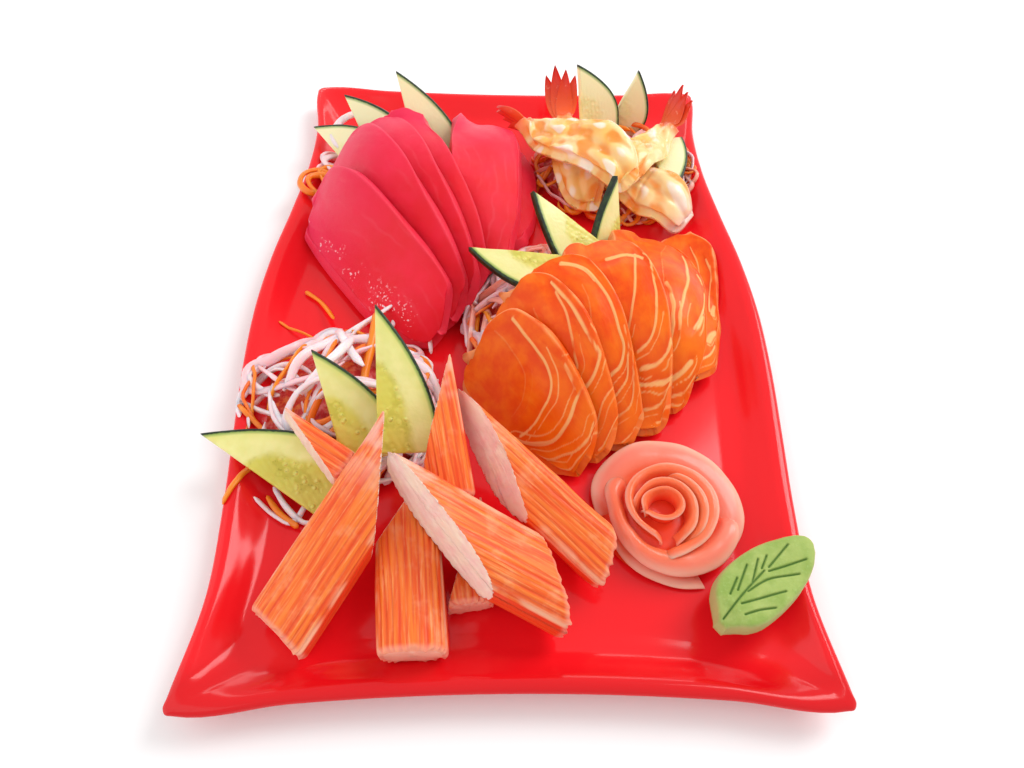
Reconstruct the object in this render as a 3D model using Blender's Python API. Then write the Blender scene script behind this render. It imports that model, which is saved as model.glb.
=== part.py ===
"""Mixed sashimi on a wavy red plate: two fans of raw fish, prawns, crab sticks, cucumber and shredded
vegetables, with a ginger rose and a carved leaf of wasabi.

Run it with: blender --background --python part.py
Each piece of food is one object. Sizes are in millimetres here and in metres in the scene.
"""

import math

import bmesh
import bpy
import numpy as np
from mathutils import Matrix, Vector

MM = 0.001
GAP = 0.5  # clearance between neighbours

# Plate
PLATE_WIDTH = 203.0
PLATE_LENGTH = 309.0
CORNER_RADIUS = 5.0
SIDE_MEAN = 99.0  # half-width about which the long sides wave
SIDE_WAVE = 4.2
# Of the back and the front half: where the sides draw in most, as a share of the half-length, by how
# much the neck is narrower there, how far the corners flare, and how far the short side bows inwards
BACK_END = (0.68, 0.8, 1.5, 4.5)
FRONT_END = (0.81, -0.9, 6.0, 6.0)
FLOOR_TOP = 4.5
# From the foot, out round the lip and in to the floor: how far in from the outline, and how high.
PLATE_PROFILE = (
    (24.0, 0.0), (14.0, 2.4), (5.0, 6.6), (1.0, 8.9), (0.0, 10.3), (0.9, 11.6),
    (2.8, 12.1), (5.0, 11.4), (9.0, 8.6), (14.0, 5.6), (20.0, FLOOR_TOP),
)

# Heaps of shredded vegetables: centre, half-widths along X and Y, height above the floor
HEAPS = {
    "tuna": ((-40.0, 74.0), (48.0, 46.0), 26.0),
    "salmon": ((29.0, -6.0), (48.0, 44.0), 26.0),
    "prawn": ((48.0, 96.0), (38.0, 36.0), 12.0),
    "crab": ((-62.0, -46.0), (35.0, 36.0), 21.0),
}
HEAP_PAD = 2.5  # least depth of shreds under whatever stands in them
HEAP_RIM = 1.2  # depth of a heap at its outline
HEAP_RINGS = 7
HEAP_SECTORS = 22

# Fans of sliced fish, from the lowest slice to the top one: middles of the near and the far end,
# and the widths there
TUNA = (
    ((-3.0, 32.0), (-1.0, 108.0), 26.0, 28.0),
    ((-10.0, 20.0), (-12.0, 114.0), 28.0, 33.0),
    ((-17.0, 8.0), (-53.0, 101.0), 30.0, 26.0),
    ((-20.0, 1.0), (-62.0, 90.0), 30.0, 26.0),
    ((-24.0, -6.0), (-72.0, 76.0), 31.0, 26.0),
    ((-28.0, -13.0), (-85.0, 54.0), 31.0, 27.0),
)
TUNA_THICK = 5.0
TUNA_ROUND, SALMON_ROUND = 0.5, 0.7  # how round the corners are, from 0 to 1
SLICE_EDGE = 0.6  # thickness at a slice's edges, as a share of the thickness inside them
SALMON = (
    ((67.0, -35.0), (79.5, 48.0), 26.0, 34.0),
    ((59.0, -46.5), (58.0, 38.0), 25.0, 42.0),
    ((51.0, -57.0), (32.0, 18.0), 25.0, 40.0),
    ((42.0, -63.0), (12.0, 0.0), 24.0, 38.0),
    ((34.0, -67.0), (1.0, -13.0), 22.0, 34.0),
    ((27.0, -71.5), (-12.0, -27.0), 24.0, 32.0),
)
SALMON_THICK = 4.5

# Prawns: head end, tail end and how high the tail is held
PRAWNS = (
    ((81.5, 55.0), (26.0, 96.0), 14.0),
    ((36.0, 62.0), (26.5, 141.0), 30.0),
    ((42.0, 64.0), (87.5, 119.5), 32.0),
    ((52.0, 58.0), (-3.0, 119.0), 14.0),
)
PRAWN_THICK = 6.0
PRAWN_JOINTS = 7
JOINT_RIDGE = 0.1  # how far each joint stands out, as a share of the thickness
TAIL_FROM, TAIL_THIN = 0.78, 0.45  # where the tail begins, and its share of the thickness
# Half-width of an opened prawn at shares of its length from head to tail
PRAWN_SHAPE = (
    (0.0, 6.0), (0.08, 10.0), (0.3, 12.5), (0.55, 10.5), (0.74, 5.5), (0.8, 5.0), (0.92, 7.0), (1.0, 7.5),
)

# Crab sticks: middle of the blunt end, heading, pitch, roll, length, width, height, turn and angle
# of the slanting cut, skew of the blunt end across and upward
STICK_CORNER = 0.26  # share of the width
STICK_TIP = 1.0  # thickness of the thin tip
FLAT_STICKS = (
    ((-30.0, -138.5, 14.4), 95.2, 2.4, 0.0, 66.0, 21.2, 15.0, 70.0, 33.0, 0.06, 0.0),
    ((-13.8, -122.8, 10.1), 97.0, 0.3, 0.0, 34.7, 15.8, 10.4, 90.0, 21.0, 0.0, 0.0),
)
LEANING_STICKS = (
    ((-55.0, -84.0, 26.0), 150.8, 15.8, 0.0, 25.6, 12.6, 9.0, 90.0, 21.0, 0.0, 0.0),
    ((-19.9, -90.7, 24.5), 101.6, 26.5, 5.0, 43.1, 15.1, 8.6, 106.7, 21.8, 0.2, 0.0),
    ((-70.6, -132.0, 14.2), 56.5, 18.8, 3.0, 71.5, 21.8, 15.0, -113.0, 28.5, 0.14, 0.22),
    ((11.4, -117.9, 15.9), 159.7, 24.7, 16.5, 62.9, 25.6, 18.6, 106.8, 28.2, -0.62, 0.28),
    ((28.2, -106.4, 13.0), 141.8, 19.5, -18.5, 70.1, 18.9, 13.4, 54.0, 21.9, -0.38, -0.5),
)

# Cucumber: middle of the base, heading and pitch of the point, roll, length, width, side of the skin
CUCUMBER_THICK = 3.2
CUCUMBERS = {
    "tuna": (
        ((-59.0, 83.0, 16.2), 130.0, 12.0, -40.0, 42.0, 23.0, -1),
        ((-50.5, 88.5, 16.0), 119.0, 28.0, -40.0, 42.0, 23.0, -1),
        ((-30.0, 91.0, 12.0), 112.0, 50.0, -10.0, 45.0, 23.0, -1),
    ),
    "prawn": (
        ((45.5, 119.2, 19.8), 110.0, 70.0, 0.0, 26.4, 20.5, -1),
        ((61.6, 125.0, 14.8), 30.0, 60.0, 60.0, 22.6, 17.0, -1),
        ((76.0, 106.0, 16.0), -78.0, 0.0, 0.0, 40.0, 20.0, 1),
    ),
    "salmon": (
        ((20.0, -1.0, 31.0), 174.0, 0.0, -8.0, 38.0, 20.0, 1),
        ((38.0, 12.0, 19.0), 161.0, 31.0, -14.0, 43.0, 24.0, 1),
        ((41.0, 25.0, 10.0), 100.0, 56.0, 35.0, 38.0, 20.0, 1),
    ),
    "crab": (
        ((-55.0, -83.0, 11.0), 148.0, 12.0, -12.0, 54.0, 26.0, -1),
        ((-46.0, -74.0, 18.0), 110.0, 33.0, 0.0, 42.0, 22.0, -1),
        ((-34.3, -75.5, 24.5), 92.0, 34.0, 5.0, 50.0, 21.0, -1),
    ),
}

# Ginger rose and wasabi leaf
ROSE_CENTRE = (54.5, -90.0)
ROSE_RADIUS = 27.4
ROSE_HEIGHT = 20.0
ROSE_TURNS = 3.5
ROSE_SECTORS = 32
ROSE_RINGS = 13
PETAL_DROP = 4.5  # from the crest of a petal down to the next one
PETAL_SLOPE = 0.75  # share of the way between two crests over which a petal rises
ROSE_FOOT = 0.86  # radius of the foot, as a share of the rim's
LEAF_STEM = (62.5, -131.5)
LEAF_HEADING = 41.0
LEAF_LENGTH = 43.0
LEAF_WIDTH = 21.0
LEAF_THICK = 10.0
LEAF_CREASE = 1.6  # depth of the groove along the midrib
STEM_HALF = 2.2


def material(name, colour, roughness):
    """A plain Principled material of one colour (sRGB, 0 to 1)."""
    made = bpy.data.materials.new(name)
    made.use_nodes = True
    shader = made.node_tree.nodes["Principled BSDF"]
    linear = [c / 12.92 if c <= 0.04045 else ((c + 0.055) / 1.055) ** 2.4 for c in colour]
    shader.inputs["Base Color"].default_value = (*linear, 1.0)
    shader.inputs["Roughness"].default_value = roughness
    shader.inputs["Metallic"].default_value = 0.0
    made.diffuse_color = (*linear, 1.0)
    return made


def add_object(name, points, faces, look):
    """Makes one closed object from points in millimetres."""
    mesh = bpy.data.meshes.new(name)
    mesh.from_pydata([tuple(p) for p in np.asarray(points, float) * MM], [], faces)
    shape = bmesh.new()
    shape.from_mesh(mesh)
    bmesh.ops.recalc_face_normals(shape, faces=shape.faces)
    shape.to_mesh(mesh)
    shape.free()
    mesh.materials.append(look)
    made = bpy.data.objects.new(name, mesh)
    bpy.context.scene.collection.objects.link(made)
    return made


def triangles(faces):
    """Faces split into triangles as fans."""
    return [(f[0], f[k], f[k + 1]) for f in faces for k in range(1, len(f) - 1)]


def face_samples(plan, faces, spacing=0.8):
    """Points spread over triangles: the three corner numbers and the three weights of each."""
    corners, weights = [], []
    for face in faces:
        a, b, c = (plan[k] for k in face)
        longest = max(np.linalg.norm(b - a), np.linalg.norm(c - b), np.linalg.norm(a - c))
        steps = max(1, math.ceil(longest / spacing))
        i, j = np.mgrid[0:steps + 1, 0:steps + 1]
        inside = i + j <= steps
        i, j = i[inside], j[inside]
        weights.append(np.stack([i, j, steps - i - j], 1) / steps)
        corners.append(np.tile(face, (len(i), 1)))
    return np.concatenate(corners), np.concatenate(weights)


class Pile:
    """Heights on a fine square grid over the table: the top of what lies there, or the underside."""

    CELL = 1.0
    HALF_X, HALF_Y = 135, 175

    def __init__(self, empty):
        self.empty = empty
        self.height = np.full((2 * self.HALF_X + 1, 2 * self.HALF_Y + 1), float(empty))
        self.best = np.maximum if empty < 0 else np.minimum

    def cells(self, points):
        near = np.rint(points[:, :2] / self.CELL).astype(int) + (self.HALF_X, self.HALF_Y)
        return near[:, 0], near[:, 1]

    def put(self, points, faces):
        """Adds a shape, spread by one cell all round for clearance."""
        points = np.asarray(points, float)
        corners, weights = face_samples(points, triangles(faces))
        spots = np.einsum("kc,kcd->kd", weights, points[corners])
        added = np.full_like(self.height, float(self.empty))
        self.best.at(added, self.cells(spots), spots[:, 2])
        for dx in (-1, 0, 1):
            for dy in (-1, 0, 1):
                moved = np.roll(added, (dx, dy), (0, 1))
                self.height = self.best(self.height, moved)

    def at(self, points):
        return self.height[self.cells(points)]


def plate_loop(inset, height):
    """One closed ring of the plate's outline, drawn in by inset, with rounded corners."""
    half_x = PLATE_WIDTH / 2 - inset
    half_y = PLATE_LENGTH / 2 - inset
    corner = CORNER_RADIUS + 0.7 * inset
    steps = 3
    straight_steps = (6, 10, 6, 10)
    outline = []
    for quarter, (sx, sy) in enumerate(((1, 1), (-1, 1), (-1, -1), (1, -1))):
        for k in range(steps + 1):
            turn = math.radians(90 * quarter + 90 * k / steps)
            outline.append((sx * (half_x - corner) + corner * math.cos(turn),
                            sy * (half_y - corner) + corner * math.sin(turn)))
        start = np.array(outline[-1])
        ends = {0: (-(half_x - corner), half_y), 1: (-half_x, -(half_y - corner)),
                2: (half_x - corner, -half_y), 3: (half_x, half_y - corner)}
        end = np.array(ends[quarter])
        for k in range(1, straight_steps[quarter]):
            outline.append(tuple(start + (end - start) * k / straight_steps[quarter]))
    ring = []
    for x, y in outline:
        across, along = x / half_x, y / half_y
        neck_at, narrower, flare, dip = BACK_END if y > 0 else FRONT_END
        wave = math.cos(math.pi * along / neck_at)
        side = SIDE_MEAN + SIDE_WAVE * wave - narrower * (1 - wave) / 2 + flare * along**12
        end = PLATE_LENGTH / 2 - dip * (1 - across**2)
        ring.append((across * (side - inset), along * (end - inset), height))
    return ring


def make_plate(look):
    rings = [plate_loop(inset, height) for inset, height in PLATE_PROFILE]
    count = len(rings[0])
    points = np.array([p for ring in rings for p in ring])
    faces = [tuple(range(count))[::-1]]
    for level in range(len(rings) - 1):
        low, high = level * count, (level + 1) * count
        for k in range(count):
            after = (k + 1) % count
            faces.append((low + k, low + after, high + after, high + k))
    faces.append(tuple(range(len(points) - count, len(points))))
    add_object("plate", points, faces, look)
    return points, faces


def grid_faces(rows, columns):
    """Triangles of a slab's upper grid, lower grid and edges. The lower grid's points come second."""
    second = rows * columns
    faces = []
    for i in range(rows - 1):
        for j in range(columns - 1):
            a, b = i * columns + j, (i + 1) * columns + j
            faces += [(a, b, b + 1), (a, b + 1, a + 1)]
            faces.append((second + a, second + b + 1, second + b))
            faces.append((second + a, second + a + 1, second + b + 1))
    edge = list(range(columns))
    edge += [i * columns + columns - 1 for i in range(1, rows)]
    edge += [(rows - 1) * columns + j for j in range(columns - 2, -1, -1)]
    edge += [i * columns for i in range(rows - 2, 0, -1)]
    for k, a in enumerate(edge):
        b = edge[(k + 1) % len(edge)]
        faces += [(a, b, second + b), (a, second + b, second + a)]
    return faces


def spread(count):
    """Even steps from -1 to 1, closer together towards both ends."""
    even = np.linspace(-1, 1, count)
    return 0.5 * even + 0.5 * np.sin(even * math.pi / 2)


def slice_plan(near, far, near_width, far_width, rows, columns, rounding):
    """Grid of plan points of a slice with rounded corners."""
    a = spread(rows)[:, None]
    b = spread(columns)[None, :]
    along = a * (1 - rounding + rounding * np.sqrt(1 - b**2 / 2))
    across = b * (1 - rounding + rounding * np.sqrt(1 - a**2 / 2))
    half = (near_width * (1 - along) + far_width * (1 + along)) / 4
    return placed(near, far, (along + 1) / 2, across * half)


def placed(near, far, share, left):
    """Plan points given by the share of the way from near to far and the distance to the left."""
    dx, dy = far[0] - near[0], far[1] - near[1]
    length = math.hypot(dx, dy)
    x = near[0] + share * dx - left * dy / length
    y = near[1] + share * dy + left * dx / length
    return np.stack([x, y], -1)


def relaxed(height):
    """One step of evening out, with free ends."""
    padded = np.pad(height, 1)
    padded[1:-1, 0] = 2 * height[:, 0] - height[:, 1]
    padded[1:-1, -1] = 2 * height[:, -1] - height[:, -2]
    padded[0] = 2 * padded[1] - padded[2]
    padded[-1] = 2 * padded[-2] - padded[-3]
    around = (padded[:-2, 1:-1] + padded[2:, 1:-1] + padded[1:-1, :-2] + padded[1:-1, 2:]) / 4
    return 0.5 * height + 0.5 * around


def contact(plan, ground):
    """What holds up a sheet of triangles over a pile: corner numbers, weights and least heights."""
    rows, columns = plan.shape[:2]
    flat = plan.reshape(-1, 2)
    upper = [f for f in grid_faces(rows, columns) if max(f) < rows * columns]
    corners, weights = face_samples(flat, upper)
    spots = np.einsum("kc,kcd->kd", weights, flat[corners])
    return corners, weights, ground.at(spots) + GAP


def lifted(height, corners, weights, least):
    """Heights raised where a triangle would dip below what is under it."""
    short = least - np.einsum("kc,kc->k", weights, height[corners])
    lift = np.zeros_like(height)
    for corner in range(3):
        np.maximum.at(lift, corners[:, corner], short)
    return height + lift


def drape(plan, ground, rounds=60, sag=0.25):
    """Heights of a soft slab's underside that has come to rest. Worked out on a fine plan, every
    second point of which is the slab's own."""
    corners, weights, least = contact(plan, ground)
    height = np.full(plan.shape[0] * plan.shape[1], -100.0)
    for corner in range(3):
        np.maximum.at(height, corners[:, corner], least)
    for _ in range(rounds):
        height = relaxed(height.reshape(plan.shape[:2])).ravel() - sag
        height = lifted(height, corners, weights, least)
    coarse = plan[::2, ::2]
    height = height.reshape(plan.shape[:2])[::2, ::2]
    return lifted(height.ravel(), *contact(coarse, ground)).reshape(height.shape)


def laid(plan, ground, held_up=0.0, rounds=40, sag=0.5, steepest=0.5):
    """Heights of the underside of a piece that bends along its length but stays straight across."""
    corners, weights, least = contact(plan, ground)
    rows, columns = plan.shape[:2]
    needed = np.full(rows * columns, -100.0)
    for corner in range(3):
        np.maximum.at(needed, corners[:, corner], least)
    needed = needed.reshape(rows, columns)
    across = np.linalg.norm(plan - plan[:, :1], axis=-1)
    across -= across.mean(1, keepdims=True)
    tilt = (across * needed).sum(1) / (across**2).sum(1)
    tilt = np.clip(evened(tilt, 6), -steepest, steepest)
    lean = across * tilt[:, None]
    floor = (needed - lean).max(1)
    floor = np.maximum(floor, held_up * np.linspace(0, 1, rows) ** 5)
    middle = floor
    for _ in range(rounds):
        middle = np.maximum(evened(middle, 1) - sag, floor)
    coarse, height = plan[::2, ::2], (middle[:, None] + lean)[::2, ::2]
    corners, weights, least = contact(coarse, ground)
    short = least - np.einsum("kc,kc->k", weights, height.ravel()[corners])
    lift = np.zeros(len(height))
    for corner in range(3):
        np.maximum.at(lift, corners[:, corner] // coarse.shape[1], short)
    return height + lift[:, None]


def evened(values, rounds):
    """A row of numbers smoothed, with its ends carried on straight."""
    for _ in range(rounds):
        padded = np.concatenate([[2 * values[0] - values[1]], values, [2 * values[-1] - values[-2]]])
        values = (padded[:-2] + 2 * values + padded[2:]) / 4
    return values


def thickened(plan, under, thickness):
    """Upper points of a slab, offset from its underside along the surface normal."""
    low = np.concatenate([plan, under[..., None]], -1)
    normal = np.cross(np.gradient(low, axis=0), np.gradient(low, axis=1))
    normal *= np.sign(normal[..., 2:])
    normal /= np.linalg.norm(normal, axis=-1, keepdims=True)
    return low, low + normal * thickness[..., None]


def add_slab(name, plan, under, thickness, look, solids):
    low, high = thickened(plan, under, thickness)
    points = np.concatenate([high.reshape(-1, 3), low.reshape(-1, 3)])
    faces = grid_faces(*plan.shape[:2])
    add_object(name, points, faces, look)
    for pile in solids:
        pile.put(points, faces)


def edge_profile(rows, columns):
    """1 inside a grid, less along its border."""
    inner = np.ones((rows, columns))
    inner[[0, -1], :] = SLICE_EDGE
    inner[:, [0, -1]] = SLICE_EDGE
    return inner


def heap_radius(name, turn):
    """Uneven outline of a heap, as a share of its half-widths."""
    shift = sorted(HEAPS).index(name)
    return 1 + 0.07 * np.sin(3 * turn + shift) + 0.05 * np.sin(5 * turn + 2 * shift)


def heap_share(name, x, y):
    """How far out a point is in a heap: 0 in the middle, 1 on the outline."""
    (cx, cy), (half_x, half_y), _ = HEAPS[name]
    across, along = (x - cx) / half_x, (y - cy) / half_y
    return np.hypot(across, along) / heap_radius(name, np.arctan2(along, across))


def heap_height(name, x, y):
    share = np.clip(heap_share(name, x, y), 0, 1)
    lumps = 0.06 * np.sin(x / 7.0 + y / 11.0) + 0.05 * np.sin(y / 6.0 - x / 13.0)
    risen = (HEAPS[name][2] - HEAP_RIM) * (1 - share**2) ** 0.8 * (1 + lumps)
    return FLOOR_TOP + HEAP_RIM + risen


def raise_by(ground, height_of):
    """A copy of a pile with each heap's height added where it covers the plate."""
    made = Pile(ground.empty)
    x, y = np.mgrid[-Pile.HALF_X:Pile.HALF_X + 1, -Pile.HALF_Y:Pile.HALF_Y + 1] * Pile.CELL
    made.height = ground.height.copy()
    for name in HEAPS:
        inside = heap_share(name, x, y) < 1.03
        made.height = np.where(inside, np.maximum(made.height, height_of(name, x, y)), made.height)
    return made


def make_heap(name, plate_top, under_all, look):
    (cx, cy), (half_x, half_y), _ = HEAPS[name]
    turn = np.linspace(0, 2 * math.pi, HEAP_SECTORS, endpoint=False)
    ellipse = np.stack([half_x * np.cos(turn), half_y * np.sin(turn)], -1)
    outline = ellipse * heap_radius(name, turn)[:, None]
    shares = np.sin(np.linspace(0, math.pi / 2, HEAP_RINGS + 1))[1:]
    plan = np.concatenate([[(cx, cy)]] + [np.array((cx, cy)) + share * outline for share in shares])
    faces = [(0, 1 + k, 1 + (k + 1) % HEAP_SECTORS) for k in range(HEAP_SECTORS)]
    for ring in range(HEAP_RINGS - 1):
        first = 1 + ring * HEAP_SECTORS
        for k in range(HEAP_SECTORS):
            a, b = first + k, first + (k + 1) % HEAP_SECTORS
            faces += [(a, a + HEAP_SECTORS, b + HEAP_SECTORS), (a, b + HEAP_SECTORS, b)]
    height = heap_height(name, plan[:, 0], plan[:, 1])
    height = np.minimum(height, under_all.at(plan) - GAP)
    corners, weights = face_samples(plan, faces)
    spots = np.einsum("kc,kcd->kd", weights, plan[corners])
    over = np.einsum("kc,kc->k", weights, height[corners]) - (under_all.at(spots) - GAP)
    drop = np.zeros_like(height)
    for corner in range(3):
        np.maximum.at(drop, corners[:, corner], over)
    floor = np.maximum(plate_top.at(plan) + GAP, FLOOR_TOP + GAP)
    height = np.maximum(height - drop, floor + HEAP_RIM)
    outer = len(plan) - HEAP_SECTORS
    inner = outer - 2 * HEAP_SECTORS
    points = np.concatenate([
        np.column_stack([plan, height]),
        np.column_stack([plan[outer:], floor[outer:]]),
        np.column_stack([plan[inner:inner + HEAP_SECTORS], floor[inner:inner + HEAP_SECTORS]]),
        [(cx, cy, FLOOR_TOP + GAP)],
    ])
    edge, low = len(plan), len(plan) + HEAP_SECTORS
    for k in range(HEAP_SECTORS):
        after = (k + 1) % HEAP_SECTORS
        faces.append((outer + k, edge + k, edge + after, outer + after))
        faces.append((edge + k, low + k, low + after, edge + after))
        faces.append((low + k, len(points) - 1, low + after))
    add_object(f"shreds_{name}", points, faces, look)


def settle(points, faces, ground):
    """Lowers or lifts a stiff piece until it just clears what is below it."""
    corners, weights = face_samples(points, triangles(faces))
    spots = np.einsum("kc,kcd->kd", weights, points[corners])
    lift = (ground.at(spots) + GAP - spots[:, 2]).max()
    return points + (0, 0, lift)


def cucumber_outline(length, width, skin):
    """Point at +X, straight cut edge along X and a bowed edge of skin."""
    arc = [(length * (1 - t), skin * width * (2 * t - t * t)) for t in np.linspace(0, 1, 7)]
    return [(0.0, 0.0)] + arc


def cucumber_slice(base, heading, pitch, roll, length, width, skin):
    outline = cucumber_outline(length, width, skin)
    count = len(outline)
    half_thick = CUCUMBER_THICK / 2
    points = [(x, y - skin * width / 2, z) for z in (-half_thick, half_thick) for x, y in outline]
    faces = [tuple(range(count)), tuple(range(count, 2 * count))[::-1]]
    faces += [(k, (k + 1) % count, (k + 1) % count + count, k + count) for k in range(count)]
    turn = (Matrix.Rotation(math.radians(heading), 3, "Z") @ Matrix.Rotation(-math.radians(pitch), 3, "Y")
            @ Matrix.Rotation(math.radians(roll), 3, "X"))
    return np.array([tuple(turn @ Vector(p)) for p in points]) + base, faces


def stick_section(width, height):
    """Rounded section of a crab stick, in its own Y and Z."""
    corner = STICK_CORNER * width
    section = []
    for quarter, (sy, sz) in enumerate(((1, 1), (-1, 1), (-1, -1), (1, -1))):
        for k in range(3):
            turn = math.radians(90 * quarter + 45 * k)
            section.append((sy * (width / 2 - corner) + corner * math.cos(turn),
                            sz * (height / 2 - corner) + corner * math.sin(turn)))
    return section


def crab_stick(blunt, heading, pitch, roll, length, width, height, cut_turn, cut_angle, skew, lean):
    """A rod of pressed fish with one blunt end and one long slanting cut, which leaves a thin tip."""
    section = stick_section(width, height)
    facing = Vector((0, math.sin(math.radians(cut_turn)), math.cos(math.radians(cut_turn))))
    reach = max(y * facing.y + z * facing.z for y, z in section) - STICK_TIP
    flat = math.cos(math.radians(pitch))
    axis = Vector((math.cos(math.radians(heading)) * flat, math.sin(math.radians(heading)) * flat,
                   math.sin(math.radians(pitch))))
    aim = axis.to_track_quat("X", "Z").to_matrix() @ Matrix.Rotation(math.radians(roll), 3, "X")
    rod = bmesh.new()
    rings = []
    for along, swell, skewed in ((0, 0.93, 1), (1.5, 1, 1), (length * 0.5, 1.02, 0), (length + 20, 0.98, 0)):
        rings.append([rod.verts.new((along + skewed * (skew * y + lean * z), y * swell, z * swell))
                      for y, z in section])
    for low, high in zip(rings, rings[1:]):
        for k in range(len(section)):
            after = (k + 1) % len(section)
            rod.faces.new((low[k], low[after], high[after], high[k]))
    rod.faces.new(rings[0][::-1])
    rod.faces.new(rings[-1])
    slant = math.radians(cut_angle)
    normal = Vector((math.sin(slant), 0, 0)) + math.cos(slant) * facing
    through = Vector((length, 0, 0)) - facing * reach
    everything = rod.verts[:] + rod.edges[:] + rod.faces[:]
    cut = bmesh.ops.bisect_plane(rod, geom=everything, plane_co=through, plane_no=normal, clear_outer=True)
    rim = [e for e in cut["geom_cut"] if isinstance(e, bmesh.types.BMEdge)]
    bmesh.ops.contextual_create(rod, geom=rim)
    bmesh.ops.remove_doubles(rod, verts=rod.verts[:], dist=0.05)
    rod.verts.index_update()
    points = np.array([tuple(aim @ v.co + Vector(blunt)) for v in rod.verts])
    faces = [tuple(v.index for v in f.verts) for f in rod.faces]
    rod.free()
    return points, faces


def prawn_plan(head, tail, rows, columns):
    """Plan of an opened prawn: broad body, narrow last joint and a spread, notched tail."""
    u = np.linspace(0, 1, rows)[:, None]
    v = spread(columns)[None, :]
    half = np.interp(u, *zip(*PRAWN_SHAPE))
    notch = 0.06 * (1 - v**2) * (u > 0.95)
    return placed(head, tail, u - notch, half * v)


def prawn_thickness(rows, columns):
    u = np.linspace(0, 1, rows)[:, None]
    v = spread(columns)[None, :]
    joints = 1 + JOINT_RIDGE * np.cos(2 * math.pi * PRAWN_JOINTS * u)
    return PRAWN_THICK * (1 - 0.5 * v**2) * joints * np.where(u > TAIL_FROM, TAIL_THIN, 1.0)


def make_rose(look):
    """Petals wound in a spiral, rising towards a bud in the middle."""
    turn = np.linspace(0, 2 * math.pi, ROSE_SECTORS, endpoint=False)[None, :]
    share = np.linspace(0, 1, ROSE_RINGS + 1)[1:, None]
    scallop = 1 + 0.05 * np.cos(5 * turn) * share
    radius = ROSE_RADIUS * share * scallop
    wave = (share * ROSE_TURNS - turn / (2 * math.pi)) % 1.0
    crest = np.where(wave < PETAL_SLOPE, wave / PETAL_SLOPE, (1 - wave) / (1 - PETAL_SLOPE))
    height = ROSE_HEIGHT * (1 - 0.72 * share**1.6) - PETAL_DROP * (1 - crest) * (1 - 0.5 * share)
    x = ROSE_CENTRE[0] + radius * np.cos(turn)
    y = ROSE_CENTRE[1] + radius * np.sin(turn)
    rim = FLOOR_TOP + GAP
    upper = np.stack([x, y, rim + height + 0 * x], -1).reshape(-1, 3)
    foot = np.stack([x[-1], y[-1], np.full(ROSE_SECTORS, rim)], -1)
    foot[:, :2] = (foot[:, :2] - ROSE_CENTRE) * ROSE_FOOT + ROSE_CENTRE
    bud = (*ROSE_CENTRE, rim + ROSE_HEIGHT - PETAL_DROP)
    points = np.concatenate([[bud], upper, foot])
    faces = [(0, 1 + k, 1 + (k + 1) % ROSE_SECTORS) for k in range(ROSE_SECTORS)]
    for ring in range(ROSE_RINGS):
        first = 1 + ring * ROSE_SECTORS
        for k in range(ROSE_SECTORS):
            a, b = first + k, first + (k + 1) % ROSE_SECTORS
            faces += [(a, a + ROSE_SECTORS, b + ROSE_SECTORS), (a, b + ROSE_SECTORS, b)]
    faces.append(tuple(range(len(points) - ROSE_SECTORS, len(points))))
    add_object("ginger_rose", points, faces, look)


def make_leaf(ground, look):
    """Leaf pressed from paste, with a creased midrib and a stub of stem."""
    rows, columns = 13, 7
    u = np.linspace(0, 1, rows)[:, None]
    v = spread(columns)[None, :]
    half = np.maximum(LEAF_WIDTH / 2 * np.sin(math.pi * u**0.82) ** 0.55, STEM_HALF * (1 - u) + 0.5)
    turn = math.radians(LEAF_HEADING)
    tip = (LEAF_STEM[0] + LEAF_LENGTH * math.cos(turn), LEAF_STEM[1] + LEAF_LENGTH * math.sin(turn))
    plan = placed(LEAF_STEM, tip, u + 0 * v, half * v)
    belly = (half / (LEAF_WIDTH / 2)) ** 0.5
    thickness = LEAF_THICK * belly * (1 - 0.45 * v**4) - LEAF_CREASE * (np.abs(v) < 0.1)
    thickness = np.maximum(thickness, 2.0)
    low = np.concatenate([plan, np.zeros((rows, columns, 1))], -1)
    high = low.copy()
    high[..., 2] = thickness
    points = np.concatenate([high.reshape(-1, 3), low.reshape(-1, 3)])
    faces = grid_faces(rows, columns)
    add_object("wasabi_leaf", settle(points, faces, ground), faces, look)


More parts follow.
